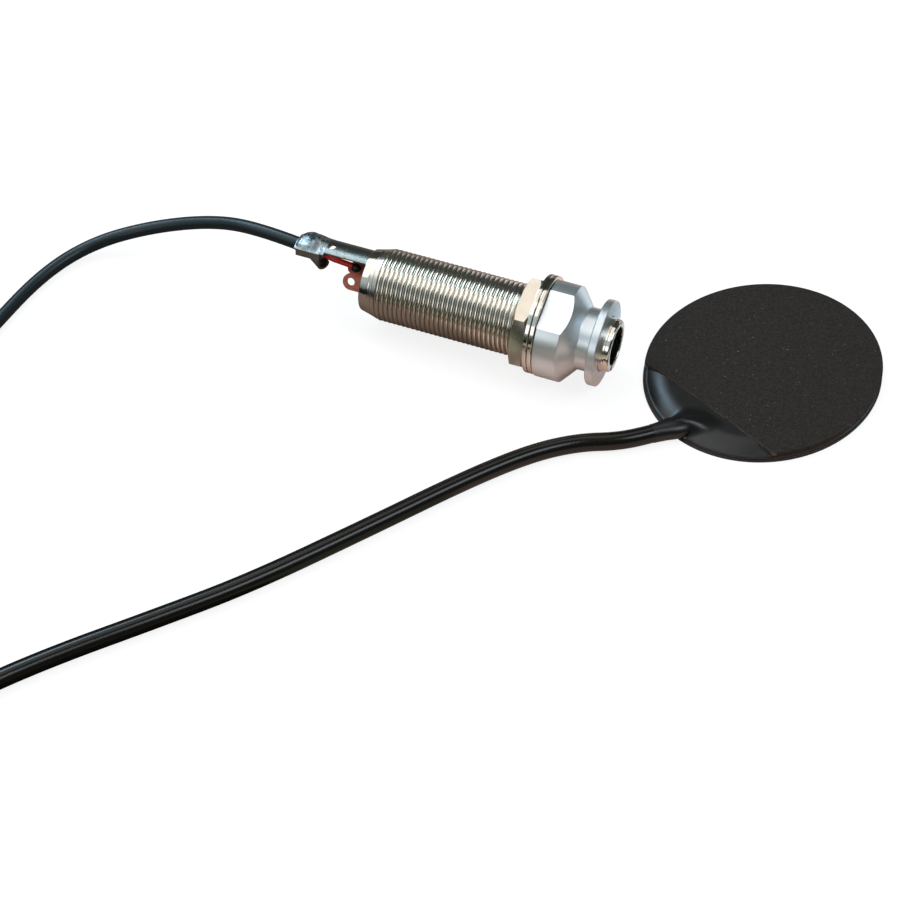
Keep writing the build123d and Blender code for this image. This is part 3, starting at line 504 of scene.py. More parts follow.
@dataclass
class Barrel:
    """The turned body: collar, thread and polished nose."""

    root_r: float = 5.44
    crest_r: float = 5.93
    pitch: float = 25.4 / 32
    crown_power: float = 2.0
    crown_points: int = 12
    collar_r: float = 5.05
    collar_front_r: float = 5.35
    collar_length: float = 1.3
    collar_chamfer: float = 0.3
    lead_in: float = 2.0
    # The ridge's foot is sunk into the body, its start reaches back, and it stays under the collar's edge.
    thread_sink: float = 0.15
    thread_back: float = 0.05
    thread_under: float = 0.02
    bore_r: float = 3.2
    bore_length: float = 8.8
    chamber_r: float = 4.72
    spigot_r: float = 4.42
    spigot_length: float = 7.6
    lip_r: float = 4.25
    lip_length: float = 0.8
    lip_rim: float = 0.05
    lip_steps: int = 60
    slot_roll: float = 145
    slot_width: float = 1.1
    thread_front: float = -14.2
    steps_per_turn: int = 72

    def build(self) -> None:
        """Makes the body, the thread and the nose."""
        rear = BARREL_REAR
        collar_front = rear + self.collar_length
        mesh = bmesh.new()
        edges = section_ring(mesh, [
            Corner(-self.lip_length, self.bore_r), Corner(-self.lip_length, self.spigot_r, 0.05),
            Corner(-self.spigot_length, self.spigot_r), Corner(-self.spigot_length, self.root_r),
            Corner(collar_front + self.collar_chamfer, self.root_r),
            Corner(collar_front, self.collar_front_r, 0.08),
            Corner(rear, self.collar_r, 0.18), Corner(rear, self.chamber_r, 0.1),
            Corner(-self.bore_length, self.chamber_r), Corner(-self.bore_length, self.bore_r),
        ], steps=4)
        turn(mesh, edges)
        piece("barrel_body", mesh, NICKEL_PLATE, ("barrel",), sharp=8)
        self._thread(collar_front)
        self._lip()

    def _thread(self, collar_front: float) -> None:
        """Lays the thread as one crowned ridge that winds forward from the lead-in cone."""
        mesh = bmesh.new()
        half = self.pitch / 2
        sunk_r = self.root_r - self.thread_sink
        start = collar_front + half - self.thread_back
        depth = self.crest_r - self.root_r
        section = [(-half, sunk_r)]
        for point in range(self.crown_points + 1):
            across = sin((point / self.crown_points - 0.5) * pi)
            crown = (1 - abs(across) ** self.crown_power) ** (1 / self.crown_power)
            section.append((half * across, self.root_r + depth * crown))
        section.append((half, sunk_r))
        verts = [mesh.verts.new((start + x, 0, r)) for x, r in section]
        edges = [mesh.edges.new((a, b)) for a, b in zip(verts, verts[1:] + verts[:1])]
        steps = int((self.thread_front - start) / self.pitch * self.steps_per_turn)
        angle = 2 * pi * steps / self.steps_per_turn
        spin(mesh, verts + edges, angle, steps, rise=(self.pitch / self.steps_per_turn, 0, 0))
        bmesh.ops.holes_fill(mesh, edges=[e for e in mesh.edges if e.is_boundary], sides=0)
        slope = (self.crest_r - self.collar_front_r) / self.lead_in
        for vert in mesh.verts:
            radius = sqrt(vert.co.y ** 2 + vert.co.z ** 2)
            limit = self.collar_front_r - self.thread_under + slope * (vert.co.x - collar_front)
            if radius > limit:
                vert.co.y *= limit / radius
                vert.co.z *= limit / radius
        piece("barrel_thread", mesh, THREAD_PLATE, sharp=60)

    def _lip(self) -> None:
        """Makes the lip round the mouth, in two halves between the screwdriver slots."""
        mesh = bmesh.new()
        gap = self.slot_width / ((self.bore_r + self.lip_r) / 2) * 180 / pi
        for start in (self.slot_roll, self.slot_roll + 180):
            edges = section_ring(mesh, [
                Corner(0, self.bore_r, 0.15), Corner(0, self.lip_r, 0.3),
                Corner(self.lip_rim - self.lip_length, self.lip_r),
                Corner(-self.lip_length, self.lip_r), Corner(-self.lip_length, self.bore_r),
            ], steps=5)
            turn_part(mesh, edges, start + gap / 2, 180 - gap, self.lip_steps)
        piece("nose_lip", mesh, NICKEL_PLATE, sharp=8)


@dataclass
class StrapButton:
    """The turned end button with two milled flats."""

    base_length: float = 3.95
    cone_length: float = 2.3
    neck_length: float = 2.25
    neck_r: float = 5.1
    flange_r: float = 7.0
    flange_slope: tuple[float, float] = (0.16, 0.12)
    thread_r: float = 5.98
    nose_r: float = 4.5
    spigot_length: float = 7.6
    flat: float = 7.04
    flat_roll: float = 22.2
    steps: int = 160
    # A face this near the front whose normal points this far along the axis belongs to the flange's front.
    front_depth: float = 0.02
    front_facing: float = 0.9

    def build(self) -> None:
        """Turns the button and mills its flats."""
        rear, front = BUTTON_LOW.x, BUTTON_HIGH.x
        # The button lies on the table, so its base reaches from the axis down to it.
        base_r = -TABLE_Z
        cone_rear = rear + self.base_length
        neck_rear = cone_rear + self.cone_length
        neck_front = neck_rear + self.neck_length
        slope_x, slope_r = self.flange_slope
        mesh = bmesh.new()
        edges = section_ring(mesh, [
            Corner(rear, self.thread_r), Corner(rear, base_r, 0.16), Corner(cone_rear, base_r, 0.1),
            Corner(neck_rear, self.neck_r, 0.12), Corner(neck_front, self.neck_r, 0.1),
            Corner(neck_front, self.flange_r - slope_r), Corner(neck_front + slope_x, self.flange_r),
            Corner(front, self.flange_r, 0.12),
            Corner(front, self.nose_r, 0.06), Corner(-self.spigot_length, self.nose_r),
            Corner(-self.spigot_length, self.thread_r),
        ], steps=4)
        turn(mesh, edges, self.steps)
        for side in (0, 180):
            for face in mill_flat(mesh, self.flat_roll + side, self.flat):
                face.material_index = 1
        for face in mesh.faces:
            face.normal_update()
            at_front = face.calc_center_median().x > front - self.front_depth
            if at_front and abs(face.normal.x) > self.front_facing:
                face.material_index = 1
        piece("strap_button_turned", mesh, TURNED_ALUMINIUM, ("strap_button",), 8, MILLED_ALUMINIUM)


@dataclass
class Fasteners:
    """The hex nut and the two thin washers behind the button."""

    flats: float = 14.0
    corner_roll: float = 45
    nut_hole_r: float = 5.98
    chamfer: float = 0.45
    sides: int = 6
    nut_rounding: float = 0.08
    nut_steps: int = 180
    washer_hole_r: float = 6.35
    washer_gap: float = 0.1
    washer_rounding: float = 0.1
    washer_count: int = 2

    def build(self) -> None:
        """Makes the washers and the nut."""
        self._washers()
        self._nut()

    def _washers(self) -> None:
        """Makes each washer as a thin ring with tumbled edges."""
        mesh = bmesh.new()
        centre = (WASHERS_LOW + WASHERS_HIGH) / 2
        radius = (WASHERS_HIGH.y - WASHERS_LOW.y) / 2
        thickness = (WASHERS_HIGH.x - WASHERS_LOW.x) / self.washer_count
        rounding = self.washer_rounding
        for number in range(self.washer_count):
            rear = WASHERS_LOW.x + number * thickness
            front = rear + thickness - self.washer_gap
            edges = section_ring(mesh, [
                Corner(rear, self.washer_hole_r, rounding), Corner(rear, radius, rounding),
                Corner(front, radius, rounding), Corner(front, self.washer_hole_r, rounding),
            ], steps=4)
            turn(mesh, edges)
        bmesh.ops.translate(mesh, vec=(0, centre.y, centre.z), verts=mesh.verts[:])
        piece("thin_washers", mesh, NICKEL_PLATE, ("washers",), sharp=8)

    def _nut(self) -> None:
        """Turns a chamfered ring and mills its six flats."""
        rear, front = NUT_LOW.x, NUT_HIGH.x
        corner_r = self.flats / sqrt(3)
        face_r = corner_r - 2 * self.chamfer
        mesh = bmesh.new()
        edges = section_ring(mesh, [
            Corner(rear, self.nut_hole_r, self.nut_rounding), Corner(rear, face_r),
            Corner(rear + self.chamfer, corner_r), Corner(front - self.chamfer, corner_r),
            Corner(front, face_r), Corner(front, self.nut_hole_r, self.nut_rounding),
        ])
        turn(mesh, edges, self.nut_steps)
        apart = 360 / self.sides
        for side in range(self.sides):
            mill_flat(mesh, self.corner_roll + apart / 2 + apart * side, self.flats / 2)
        piece("chamfered_hex_nut", mesh, NICKEL_PLATE, ("hex_nut",), sharp=8)


@dataclass
class TongueSolder:
    """The solder that has run over the tongue's end and thins out towards the eyelet."""

    rear: float = -54.4
    front: float = -49.35
    far_roll: float = -46.0
    near_roll: float = 22.0
    sheet_r: float = 4.72
    under_r: float = 3.7
    build_up: float = 0.46
    film: float = 0.05
    lump: float = 0.16
    corner: float = 3.0
    corner_share: float = 0.45
    steps: int = 48

    def build(self) -> None:
        """Makes the puddle as a fine sheet over the tongue's curve, closed below."""
        mesh = bmesh.new()
        bmesh.ops.create_grid(mesh, x_segments=self.steps, y_segments=self.steps, size=1)
        grown = bmesh.ops.extrude_face_region(mesh, geom=mesh.faces[:], use_keep_orig=True)
        below = {item for item in grown["geom"] if isinstance(item, bmesh.types.BMVert)}
        for vert in mesh.verts:
            along, across = (vert.co.x + 1) / 2, (vert.co.y + 1) / 2
            radius = self.under_r if vert in below else self.sheet_r + self._thickness(along, across)
            inset = self.corner * max(0.0, 1 - across / self.corner_share) ** 2
            x = self.rear + inset + along * (self.front - self.rear - inset)
            roll = self.far_roll + across * (self.near_roll - self.far_roll)
            vert.co = (x, *polar(roll, radius))
        piece("solder_puddle", mesh, SOLDER, ("tongue_solder",), sharp=60)

    def _thickness(self, along: float, across: float) -> float:
        """Thickness over the sheet, by the shares of the way forward and towards the near side."""
        front = smooth_step(1.0, 0.45, along + 0.12 * sin(across * 9))
        rear = smooth_step(0.0, 0.14, along)
        sides = smooth_step(0.0, 0.2, across) * smooth_step(1.0, 0.86, across)
        lumps = 1 + self.lump * sin(along * 11 + across * 3) * sin(across * 8 + 1)
        return self.build_up * (self.film + (1 - self.film) * front * rear * sides) * lumps


# ---------------- cords ----------------


@dataclass
class Lead:
    """The thin lead in two free lengths with its coil between them, and the sleeve over one."""

    radius: float = 1.1
    sleeve_radius: float = 1.46
    coil_x: float = -86.7
    coil_y: float = -98.4
    lanes: tuple[float, float] = (13.35, 11.15)
    layers: tuple[float, float] = (1.1, 3.3)
    turns: float = 10 / 3
    enter_angle: float = 300
    per_turn: int = 15
    # Turns over which the coil moves to the inner lane, out again, and up to the second layer.
    inward_at: tuple[float, float] = (0.7, 0.95)
    outward_at: tuple[float, float] = (2.08, 2.33)
    upward_at: tuple[float, float] = (1.72, 1.97)
    # Route points as X, Y and height above the table.
    sensor_route: list[tuple[float, float, float]] = field(default_factory=lambda: [
        (14.202, -6.203, 1.75), (9.901, -9.901, 1.55), (5.4, -13.4, 1.46), (-0.4, -15.9, 1.46),
        (-6.4, -20.6, 1.46), (-13.6, -29.2, 1.46), (-24.0, -43.8, 1.46), (-36.2, -60.5, 1.46),
        (-47.2, -72.7, 1.46), (-56.0, -82.2, 1.46), (-63.2, -91.0, 1.46), (-68.6, -99.2, 1.46),
        (-73.5, -106.2, 1.46),
    ])
    jack_route: list[tuple[float, float, float]] = field(default_factory=lambda: [
        (-100.0, -90.9, 3.0), (-99.6, -81.5, 1.25), (-99.9, -66.5, 1.1), (-99.6, -46.0, 1.1),
        (-97.8, -27.0, 1.1), (-96.0, -12.0, 1.1), (-91.2, -2.6, 1.75), (-82.0, 1.9, 4.6),
        (-71.0, 2.9, 8.6), (-62.0, 1.4, 11.1), (-54.3, 0.3, 11.2),
    ])
    sleeve_start: float = 1.2
    sleeve_points: int = 12

    def coil(self) -> list[tuple[float, float, float]]:
        """Points of the coil, as X, Y and height: outer lane below, inner lane, then out again on top."""
        points = []
        steps = round(self.turns * self.per_turn)
        outer, inner = self.lanes
        low, high = self.layers
        swell = 1 / cos(pi / self.per_turn)
        for step in range(steps + 1):
            at = step / self.per_turn
            inward = smooth_step(*self.inward_at, at) - smooth_step(*self.outward_at, at)
            lane = outer + (inner - outer) * inward
            height = low + (high - low) * smooth_step(*self.upward_at, at)
            angle = radians(self.enter_angle - 360 * at)
            reach = lane * swell if step < steps else lane
            points.append((self.coil_x + reach * cos(angle), self.coil_y + reach * sin(angle), height))
        return points

    def build(self) -> None:
        """Lays the lead and its sleeve."""
        points = self.sensor_route + self.coil() + self.jack_route
        lead = self._cord("lead", points, self.radius, LEAD_JACKET)
        settle(lead, ("lead_at_sensor", "lead_coil", "lead_at_jack"))
        first, second = Vector(self.sensor_route[0]), Vector(self.sensor_route[1])
        start = first + (second - first).normalized() * self.sleeve_start
        inner = self.sensor_route[1:self.sleeve_points]
        following = self.sensor_route[self.sleeve_points]
        finish = (Vector(inner[-1]) + Vector(following)) / 2
        route = [tuple(start), *inner, tuple(finish)]
        sleeve = self._cord("sleeve", route, self.sleeve_radius, SLEEVE_JACKET)
        settle(sleeve, ("lead_sleeve",))

    def _place(self, point: tuple[float, float, float]) -> tuple[float, float, float]:
        """A route point in metres, in the row frame."""
        return (point[0] * MM, point[1] * MM, (TABLE_Z + point[2]) * MM)

    def _cord(self, name: str, points: list, radius: float, finish: Finish) -> bpy.types.Object:
        """Makes one smooth curve along a route.

        Args:
            name: The cord's name.
            points: Its control points, as X, Y and height, in millimetres.
            radius: Its radius in millimetres.
            finish: Its finish.

        Returns:
            The curve object.
        """
        curve = bpy.data.curves.new(name, "CURVE")
        curve.dimensions = "3D"
        spline = curve.splines.new("NURBS")
        spline.points.add(len(points) - 1)
        for control, point in zip(spline.points, points):
            control.co = (*self._place(point), 1.0)
        spline.order_u = 3
        spline.use_endpoint_u = True
        curve.resolution_u = 10
        curve.bevel_depth = radius * MM
        curve.bevel_resolution = 8
        curve.use_fill_caps = True
        curve.materials.append(finish.build())
        return new_object(name, curve)


# ---------------- sensor ----------------


@dataclass(frozen=True)
class NeckSection:
    """One oval section of the neck, by reach and side from the disc's centre."""

    reach: float
    side: float
    heading: float
    half_width: float
    half_height: float
    middle: float


@dataclass
class Sensor:
    """The flat oval disc: base, cover that swells into the neck, and adhesive pad."""

    centre: tuple[float, float] = (21.65, 10.11)
    across_r: float = 18.1
    long_r: float = 20.2
    neck_angle: float = 244.5
    base_top: float = 0.5
    base_edge: float = 0.14
    cover_inset: float = 0.17
    cover_top: float = 1.25
    rim_drop: float = 0.3
    rim_width: float = 0.35
    pad_inset: float = 0.08
    pad_top: float = 2.0
    pad_chord: float = 13.0
    pad_proud: float = 0.16
    pad_edge: float = 0.1
    # The cover's dome starts this far under the pad.
    under_pad: float = 0.4
    # The pad's cut: how far it wanders, where that fades out towards its ends, and the depth of its faces.
    cut_wander: float = 0.07
    cut_fade: tuple[float, float] = (13.6, 11.5)
    cut_depth: float = 0.4
    cut_facing: float = 0.5
    cut_steps: int = 40
    ledge: float = 0.4
    ledge_top: float = 0.78
    shoulder: float = 3.4
    # The swelling over the end of the lead: its crown's height, where it starts and where it is full.
    swell_top: float = 3.2
    swell_from: float = 13.6
    swell_full: float = 18.6
    # Its half width at the rim, how much it widens over how far inwards, and the line of its middle.
    swell_half_width: float = 2.4
    swell_widening: float = 1.4
    swell_widens_over: float = 3.5
    swell_side: float = 0.3
    swell_side_at: float = 17.9
    swell_drift: float = 0.45
    rings: int = 90
    steps: int = 288
    neck_steps: int = 48
    neck_clear: float = 0.02
    neck: tuple[NeckSection, ...] = (
        NeckSection(18.3, 0.15, 240, 1.5, 1.25, 1.6),
        NeckSection(19.2, -0.2, 234, 2.05, 1.5, 1.62),
        NeckSection(20.4, -0.78, 227, 2.0, 1.55, 1.63),
        NeckSection(21.6, -1.32, 222, 1.68, 1.53, 1.6),
        NeckSection(22.6, -1.78, 219.5, 1.55, 1.52, 1.57),
        NeckSection(23.4, -2.16, 219, 1.5, 1.5, 1.55),
    )

    def point(self, reach: float, side: float = 0) -> tuple[float, float]:
        """X and Y of a point by its reach towards the neck and its offset sideways."""
        angle = radians(self.neck_angle)
        x = self.centre[0] + reach * cos(angle) - side * sin(angle)
        y = self.centre[1] + reach * sin(angle) + side * cos(angle)
        return (x, y)

    def build(self) -> None:
        """Makes the three layers."""
        self._base()
        self._cover()
        self._pad()

    def _oval(self, mesh: bmesh.types.BMesh, inset: float, height: float) -> None:
        """Draws the disc's outline as one face, with the long axis along X, at a height."""
        circle = bmesh.ops.create_circle(mesh, cap_ends=True, radius=1, segments=self.steps)["verts"]
        bmesh.ops.scale(mesh, vec=(self.long_r - inset, self.across_r - inset, 1), verts=circle)
        bmesh.ops.translate(mesh, vec=(0, 0, height), verts=circle)

    def _seat(self, mesh: bmesh.types.BMesh) -> None:
        """Turns a mesh that was drawn along X towards the neck and sets it on the table."""
        turned = Matrix.Rotation(radians(self.neck_angle), 3, "Z")
        bmesh.ops.rotate(mesh, cent=(0, 0, 0), matrix=turned, verts=mesh.verts[:])
        bmesh.ops.translate(mesh, vec=(*self.centre, TABLE_Z), verts=mesh.verts[:])

    def _thicken(self, mesh: bmesh.types.BMesh, height: float, edge: float) -> None:
        """Extrudes the outline upwards and rounds its upper rim."""
        grown = bmesh.ops.extrude_face_region(mesh, geom=mesh.faces[:], use_keep_orig=True)
        top = [g for g in grown["geom"] if isinstance(g, bmesh.types.BMVert)]
        bmesh.ops.translate(mesh, vec=(0, 0, height), verts=top)
        bmesh.ops.recalc_face_normals(mesh, faces=mesh.faces[:])
        above = set(top)
        rim = [e for e in mesh.edges if e.verts[0] in above and e.verts[1] in above]
        bmesh.ops.bevel(
            mesh, geom=rim, offset=edge, offset_type="OFFSET", segments=4, profile=0.5,
            affect="EDGES", clamp_overlap=True, material=-1,
        )

    def _base(self) -> None:
        """Makes the base, a thin plate that shows as the disc's lower rim."""
        mesh = bmesh.new()
        self._oval(mesh, 0, 0)
        self._thicken(mesh, self.base_top, self.base_edge)
        self._seat(mesh)
        piece("sensor_base_layer", mesh, SENSOR_MOULDING, ("sensor_base",))

    def _cover(self) -> None:
        """Makes the cover from a fine plate whose top follows the dome, and a tube for the neck."""
        mesh = bmesh.new()
        outline = [mesh.verts.new((0, 0, self.base_top)), mesh.verts.new((1, 0, self.base_top))]
        outline += [
            mesh.verts.new((1 - ring / self.rings, 0, self.cover_top)) for ring in range(self.rings + 1)
        ]
        edges = [mesh.edges.new(pair) for pair in zip(outline, outline[1:])]
        spin(mesh, outline + edges, 2 * pi, self.steps, merge=True, axis=(0, 0, 1))
        bmesh.ops.remove_doubles(mesh, verts=mesh.verts[:], dist=HAIR)
        long_r, across_r = self.long_r - self.cover_inset, self.across_r - self.cover_inset
        for vert in mesh.verts:
            from_rim = (1 - sqrt(vert.co.x ** 2 + vert.co.y ** 2)) * (long_r + across_r) / 2
            vert.co.x *= long_r
            vert.co.y *= across_r
            if vert.co.z > self.base_top + WELD:
                vert.co.z = self._top(vert.co.x, vert.co.y, from_rim)
        self._seat(mesh)
        self._add_neck(mesh)
        piece("swelling_cover", mesh, SENSOR_MOULDING, ("sensor_cover",), sharp=50)

    def _top(self, reach: float, side: float, from_rim: float) -> float:
        """Height of the cover's top above the table at one place."""
        if reach < self.pad_chord - self.under_pad:
            return self.cover_top - self.rim_drop * smooth_step(self.rim_width, 0.0, from_rim)
        inward = min(1.0, max(0.0, (from_rim - self.ledge) / self.shoulder))
        rise = 1 - (1 - inward) ** 2
        dome = self.ledge_top + (self.pad_top - self.pad_proud - self.ledge_top) * rise
        crown = dome + (self.swell_top - dome) * smooth_step(self.swell_from, self.swell_full, reach)
        widening = smooth_step(0.0, self.swell_widens_over, from_rim)
        half_width = self.swell_half_width + self.swell_widening * widening
        middle = self.swell_side - self.swell_drift * (reach - self.swell_side_at)
        off = min(1.0, abs(side - middle) / half_width)
        return dome + (crown - dome) * (0.5 + 0.5 * cos(pi * off))

    def _add_neck(self, mesh: bmesh.types.BMesh) -> None:
        """Adds the neck as a tube that narrows from the disc to the sleeve."""
        rings = []
        for section in self.neck:
            circle = bmesh.ops.create_circle(mesh, cap_ends=False, radius=1, segments=self.neck_steps)
            ring = circle["verts"]
            across = radians(section.heading)
            shape = Matrix((
                (-sin(across) * section.half_width, 0, cos(across)),
                (cos(across) * section.half_width, 0, sin(across)),
                (0, section.half_height, 0),
            ))
            place = Vector((*self.point(section.reach, section.side), TABLE_Z + section.middle))
            for vert in ring:
                vert.co = place + shape @ vert.co
                vert.co.z = max(vert.co.z, TABLE_Z + self.neck_clear)
            members = set(ring)
            rings.append([edge for edge in mesh.edges if set(edge.verts) <= members])
        for ring, following in zip(rings, rings[1:]):
            bmesh.ops.bridge_loops(mesh, edges=ring + following)
        bmesh.ops.holes_fill(mesh, edges=rings[0], sides=0)
        bmesh.ops.holes_fill(mesh, edges=rings[-1], sides=0)

    def _pad(self) -> None:
        """Makes the pad, which is cut off beside the neck by hand, so its edge isn't quite straight."""
        mesh = bmesh.new()
        self._oval(mesh, self.pad_inset, self.cover_top)
        bmesh.ops.bisect_plane(
            mesh, geom=mesh.verts[:] + mesh.edges[:] + mesh.faces[:], plane_co=(self.pad_chord, 0, 0),
            plane_no=(1, 0, 0), clear_outer=True,
        )
        cut = [e for e in mesh.edges if all(abs(v.co.x - self.pad_chord) < WELD for v in e.verts)]
        bmesh.ops.subdivide_edges(mesh, edges=cut, cuts=self.cut_steps)
        for vert in mesh.verts:
            if abs(vert.co.x - self.pad_chord) < WELD:
                wave = sin(vert.co.y * 0.9 + 0.6) + 0.6 * sin(vert.co.y * 2.3)
                vert.co.x += self.cut_wander * wave * smooth_step(*self.cut_fade, abs(vert.co.y))
        self._thicken(mesh, self.pad_top - self.cover_top, self.pad_edge)
        for face in mesh.faces:
            at_cut = face.calc_center_median().x > self.pad_chord - self.cut_depth
            if face.normal.x > self.cut_facing and at_cut:
                face.material_index = 1
        self._seat(mesh)
        piece("pad_sheet", mesh, PAD_FOAM, ("adhesive_pad",), second=PAD_CUT)


# ---------------- studio ----------------


@dataclass(frozen=True)
class Lamp:
    """A flat soft lamp, by the direction it stands in and the extents it has as seen from the pickup."""

    name: str
    direction: tuple[float, float, float]
    along: tuple[float, float, float]
    length: float
    width: float
    radiance: float
    colour: str = "#ffffff"
    distance: float = 1.0

    def build(self) -> None:
        """Adds the lamp, facing the pickup."""
        data = bpy.data.lights.new(self.name, "AREA")
        data.shape = "RECTANGLE"
        data.size = self.length
        data.size_y = self.width
        data.energy = self.radiance * pi * self.length * self.width
        data.color = linear(self.colour)[:3]
        lamp = new_object(self.name, data)
        away = Vector(self.direction).normalized()
        beside = away.cross(Vector(self.along)).normalized()
        along = beside.cross(away)
        lamp.location = away * self.distance
        lamp.rotation_euler = Matrix((along, beside, away)).transposed().to_euler()


@dataclass
class Studio:
    """Camera, lamps, world and floor."""

    camera_at: tuple[float, float, float] = (77.538, -269.53, 277.441)
    looks_at: tuple[float, float, float] = (-18.912, -23.449, -7.854)
    lens_mm: float = 100.0
    film_mm: float = 36.0
    fill: float = 0.5
    # The room that metal reflects: dim, with one pale region, and the cosines where it starts and is full.
    room: str = "#3a403b"
    sky: str = "#bccdd5"
    sky_at: tuple[float, float, float] = (-0.45, -0.55, 0.70)
    sky_edge: tuple[float, float] = (0.7, 0.94)
    floor_half: float = 3.0
    floor_below: float = 0.02
    # What the camera sees of the paper: the part that takes shadows, and its own glow.
    floor_shade: float = 0.2
    floor_glow: float = 0.83
    # Painted shade, light and reflections on the paper for every ray but the camera's: a painted shadow of
    # the jack by the thread, a warm painted reflection by the button, a painted dim zone in front, a painted
    # black reflection in sharp reflections, and painted light past the mouth, with the stretches in
    # millimetres over which each one sets in.
    painted_shadow_by_thread: str = "#75645b"
    painted_reflection_by_button: str = "#dcbfb2"
    button_x: tuple[float, float] = (-20, -12)
    dim: str = "#9b977e"
    dim_y: tuple[float, float] = (-33, -36)
    dark: str = "#0c1012"
    dark_edge: tuple[float, float] = (-29, -33)
    painted_light_past_mouth: str = "#e9f0f3"
    mouth_x: tuple[float, float] = (-4, 0)
    mouth_y: tuple[float, float] = (0, 4)
    lamps: tuple[Lamp, ...] = (
        Lamp("overhead_box", (-0.42, 0.05, 0.906), (1, 0, 0), 1.1, 1.3, 1.2, "#fffaf3"),
        Lamp("right_box", (0.594, -0.07, 0.80), (0.64, 0.77, 0), 0.6, 0.36, 5.0, "#e6f2fb"),
        Lamp("window", (-0.642, 0.346, 0.683), (-0.34, -0.25, -0.2), 0.6, 0.28, 9.0, "#b5e2ff"),
        Lamp("front_strip", (-0.25, -0.88, 0.41), (1, 0, 0), 0.5, 0.34, 1.4, "#ffffff"),
    )

    def build(self) -> None:
        """Sets up the studio."""
        self._camera()
        self._floor()
        self._world()
        for lamp in self.lamps:
            lamp.build()
        bpy.context.scene.view_settings.view_transform = "Standard"

    def _camera(self) -> None:
        """Places the camera."""
        data = bpy.data.cameras.new("camera")
        data.lens = self.lens_mm
        data.sensor_width = self.film_mm
        data.clip_start = 0.01
        camera = new_object("camera", data)
        place = Vector(self.camera_at) * MM
        aim = Vector(self.looks_at) * MM
        camera.location = place
        camera.rotation_euler = (aim - place).to_track_quat("-Z", "Y").to_euler()
        bpy.context.scene.camera = camera

    def _floor(self) -> None:
        """Lays the paper: white with a soft shadow to the camera, and painted shade, light and reflections
        in zones to every other ray.
        """
        mesh = bmesh.new()
        bmesh.ops.create_grid(mesh, x_segments=1, y_segments=1, size=self.floor_half)
        bmesh.ops.translate(mesh, vec=(0, 0, (TABLE_Z - self.floor_below) * MM), verts=mesh.verts[:])
        data = bpy.data.meshes.new("floor")
        mesh.to_mesh(data)
        mesh.free()
        floor = new_object("floor", data)
        material = bpy.data.materials.new("paper")
        material.use_nodes = True
        tree = material.node_tree
        tree.nodes.remove(tree.nodes["Principled BSDF"])
        path = add_node(tree, "ShaderNodeLightPath")
        shade = self.floor_shade
        lit = add_node(tree, "ShaderNodeBsdfDiffuse", {"Color": (shade, shade, shade, 1)})
        glow = add_node(tree, "ShaderNodeEmission", {"Color": (1, 1, 1, 1), "Strength": self.floor_glow})
        seen = add_node(tree, "ShaderNodeAddShader")
        tree.links.new(lit.outputs[0], seen.inputs[0])
        tree.links.new(glow.outputs[0], seen.inputs[1])
        painted_reflections = add_node(tree, "ShaderNodeBsdfDiffuse", Color=self._painted_shade_and_light(tree, path))
        mix = choose(tree, path.outputs["Is Camera Ray"], painted_reflections, seen)
        tree.links.new(mix.outputs[0], tree.nodes["Material Output"].inputs["Surface"])
        data.materials.append(material)

    def _painted_shade_and_light(self, tree: bpy.types.NodeTree, path: bpy.types.Node) -> bpy.types.NodeSocket:
        """Paints shade, light and reflections onto the paper for every ray but the camera's.

        Args:
            tree: The paper's node tree.
            path: Its light path node.

        Returns:
            The colour: a warm painted reflection, browner by the thread where it paints the jack's shadow, a
                painted dim zone in front, a painted black reflection to the left of that in sharp
                reflections, and painted white light past the mouth.
        """
        place = add_node(tree, "ShaderNodeTexCoord").outputs["Object"]
        split = add_node(tree, "ShaderNodeSeparateXYZ", Vector=place).outputs
        # Painted shadow of the jack by the thread, turning to a warm painted reflection by the button.
        near = blend_colours(tree, ramp(tree, split["X"], self.button_x), self.painted_shadow_by_thread, self.painted_reflection_by_button)
        # Painted dim zone in front.
        dim = blend_colours(tree, ramp(tree, split["Y"], self.dim_y), near, self.dim)
        # Painted black reflection, in sharp reflections only, to the left of that.
        left = product(tree, ramp(tree, split["X"], self.dark_edge), ramp(tree, split["Y"], self.dark_edge))
        away = product(tree, left, path.outputs["Is Glossy Ray"])
        dark = blend_colours(tree, away, dim, self.dark)
        # Painted light past the mouth, for the flange's face to reflect.
        behind = product(tree, ramp(tree, split["X"], self.mouth_x), ramp(tree, split["Y"], self.mouth_y))
        return blend_colours(tree, behind, dark, self.painted_light_past_mouth)

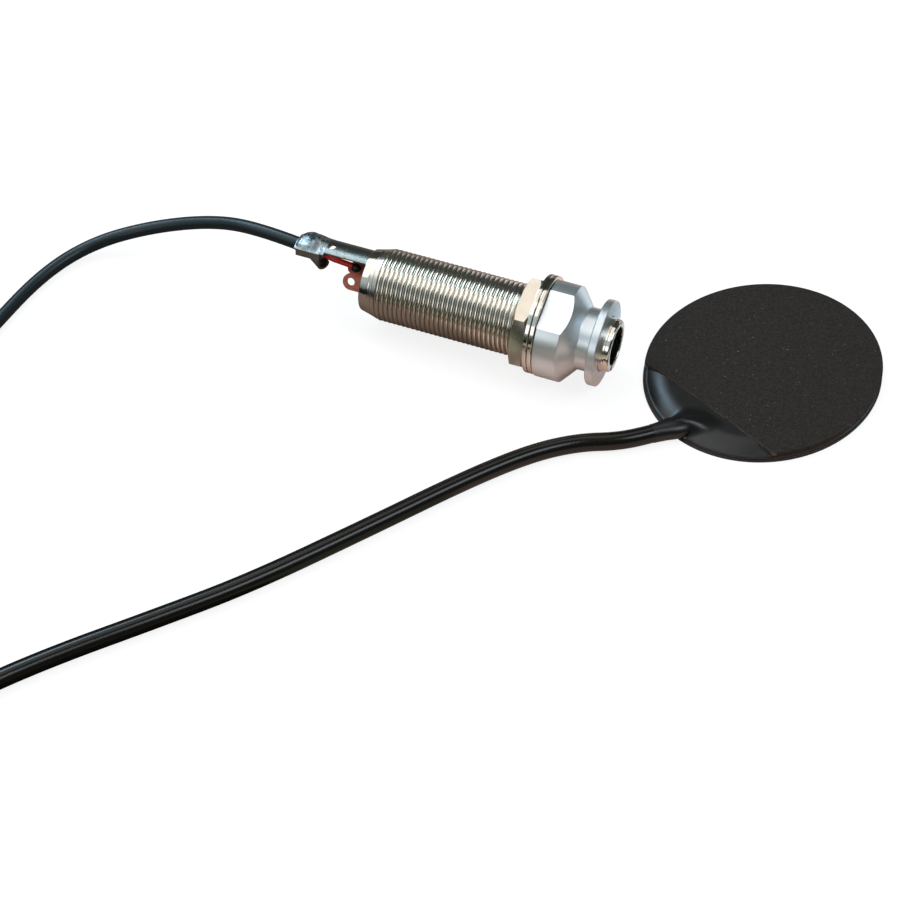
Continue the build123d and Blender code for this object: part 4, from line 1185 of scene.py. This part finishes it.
    def _world(self) -> None:
        """Surrounds the pickup: white to the camera, an even fill, and a dim room in reflections."""
        world = bpy.data.worlds.new("studio")
        world.use_nodes = True
        tree = world.node_tree
        fill = tree.nodes["Background"]
        fill.inputs["Color"].default_value = (1, 1, 1, 1)
        fill.inputs["Strength"].default_value = self.fill
        path = add_node(tree, "ShaderNodeLightPath")
        direction = add_node(tree, "ShaderNodeTexCoord").outputs["Generated"]
        towards = add_node(tree, "ShaderNodeVectorMath", {"operation": "DOT_PRODUCT"})
        tree.links.new(direction, towards.inputs[0])
        towards.inputs[1].default_value = Vector(self.sky_at).normalized()
        low, high = self.sky_edge
        lit = add_node(
            tree, "ShaderNodeMapRange", {"From Min": low, "From Max": high}, Value=towards.outputs["Value"]
        ).outputs["Result"]
        room = add_node(tree, "ShaderNodeBackground", Color=blend_colours(tree, lit, self.room, self.sky))
        white = add_node(tree, "ShaderNodeBackground", {"Color": (1, 1, 1, 1), "Strength": 1.0})
        reflected = choose(tree, path.outputs["Is Glossy Ray"], fill, room)
        mix = choose(tree, path.outputs["Is Camera Ray"], reflected, white)
        tree.links.new(mix.outputs[0], tree.nodes["World Output"].inputs["Surface"])
        bpy.context.scene.world = world


# ---------------- assembly ----------------

CAD_FINISHES: dict[str, Finish] = {
    "ground_tongue": TINNED_SHEET,
    "rear_wafer": PHENOLIC,
    "front_wafer": PHENOLIC,
    "wafer_spacer": PHENOLIC,
    "contact_liner": PHENOLIC,
    "tip_contact": LUG_BRASS,
    "ring_contact": LUG_BRASS,
    "lug_solder": BURNT_SOLDER,
    "core_wire": CORE_RED,
    "screen_strands": STRANDS,
    "brass_plate": DISC_BRASS,
    "piezo_ceramic": CERAMIC,
    "core_tail": STRANDS,
    "screen_tail": STRANDS,
    "sensor_joints": SOLDER,
}


def main() -> None:
    """Builds the studio and the pickup."""
    Studio().build()
    Lead().build()
    Barrel().build()
    StrapButton().build()
    Fasteners().build()
    TongueSolder().build()
    Sensor().build()
    for node, finish in CAD_FINISHES.items():
        dress(node, finish)
    bpy.context.view_layer.update()


if __name__ == "__main__":
    main()
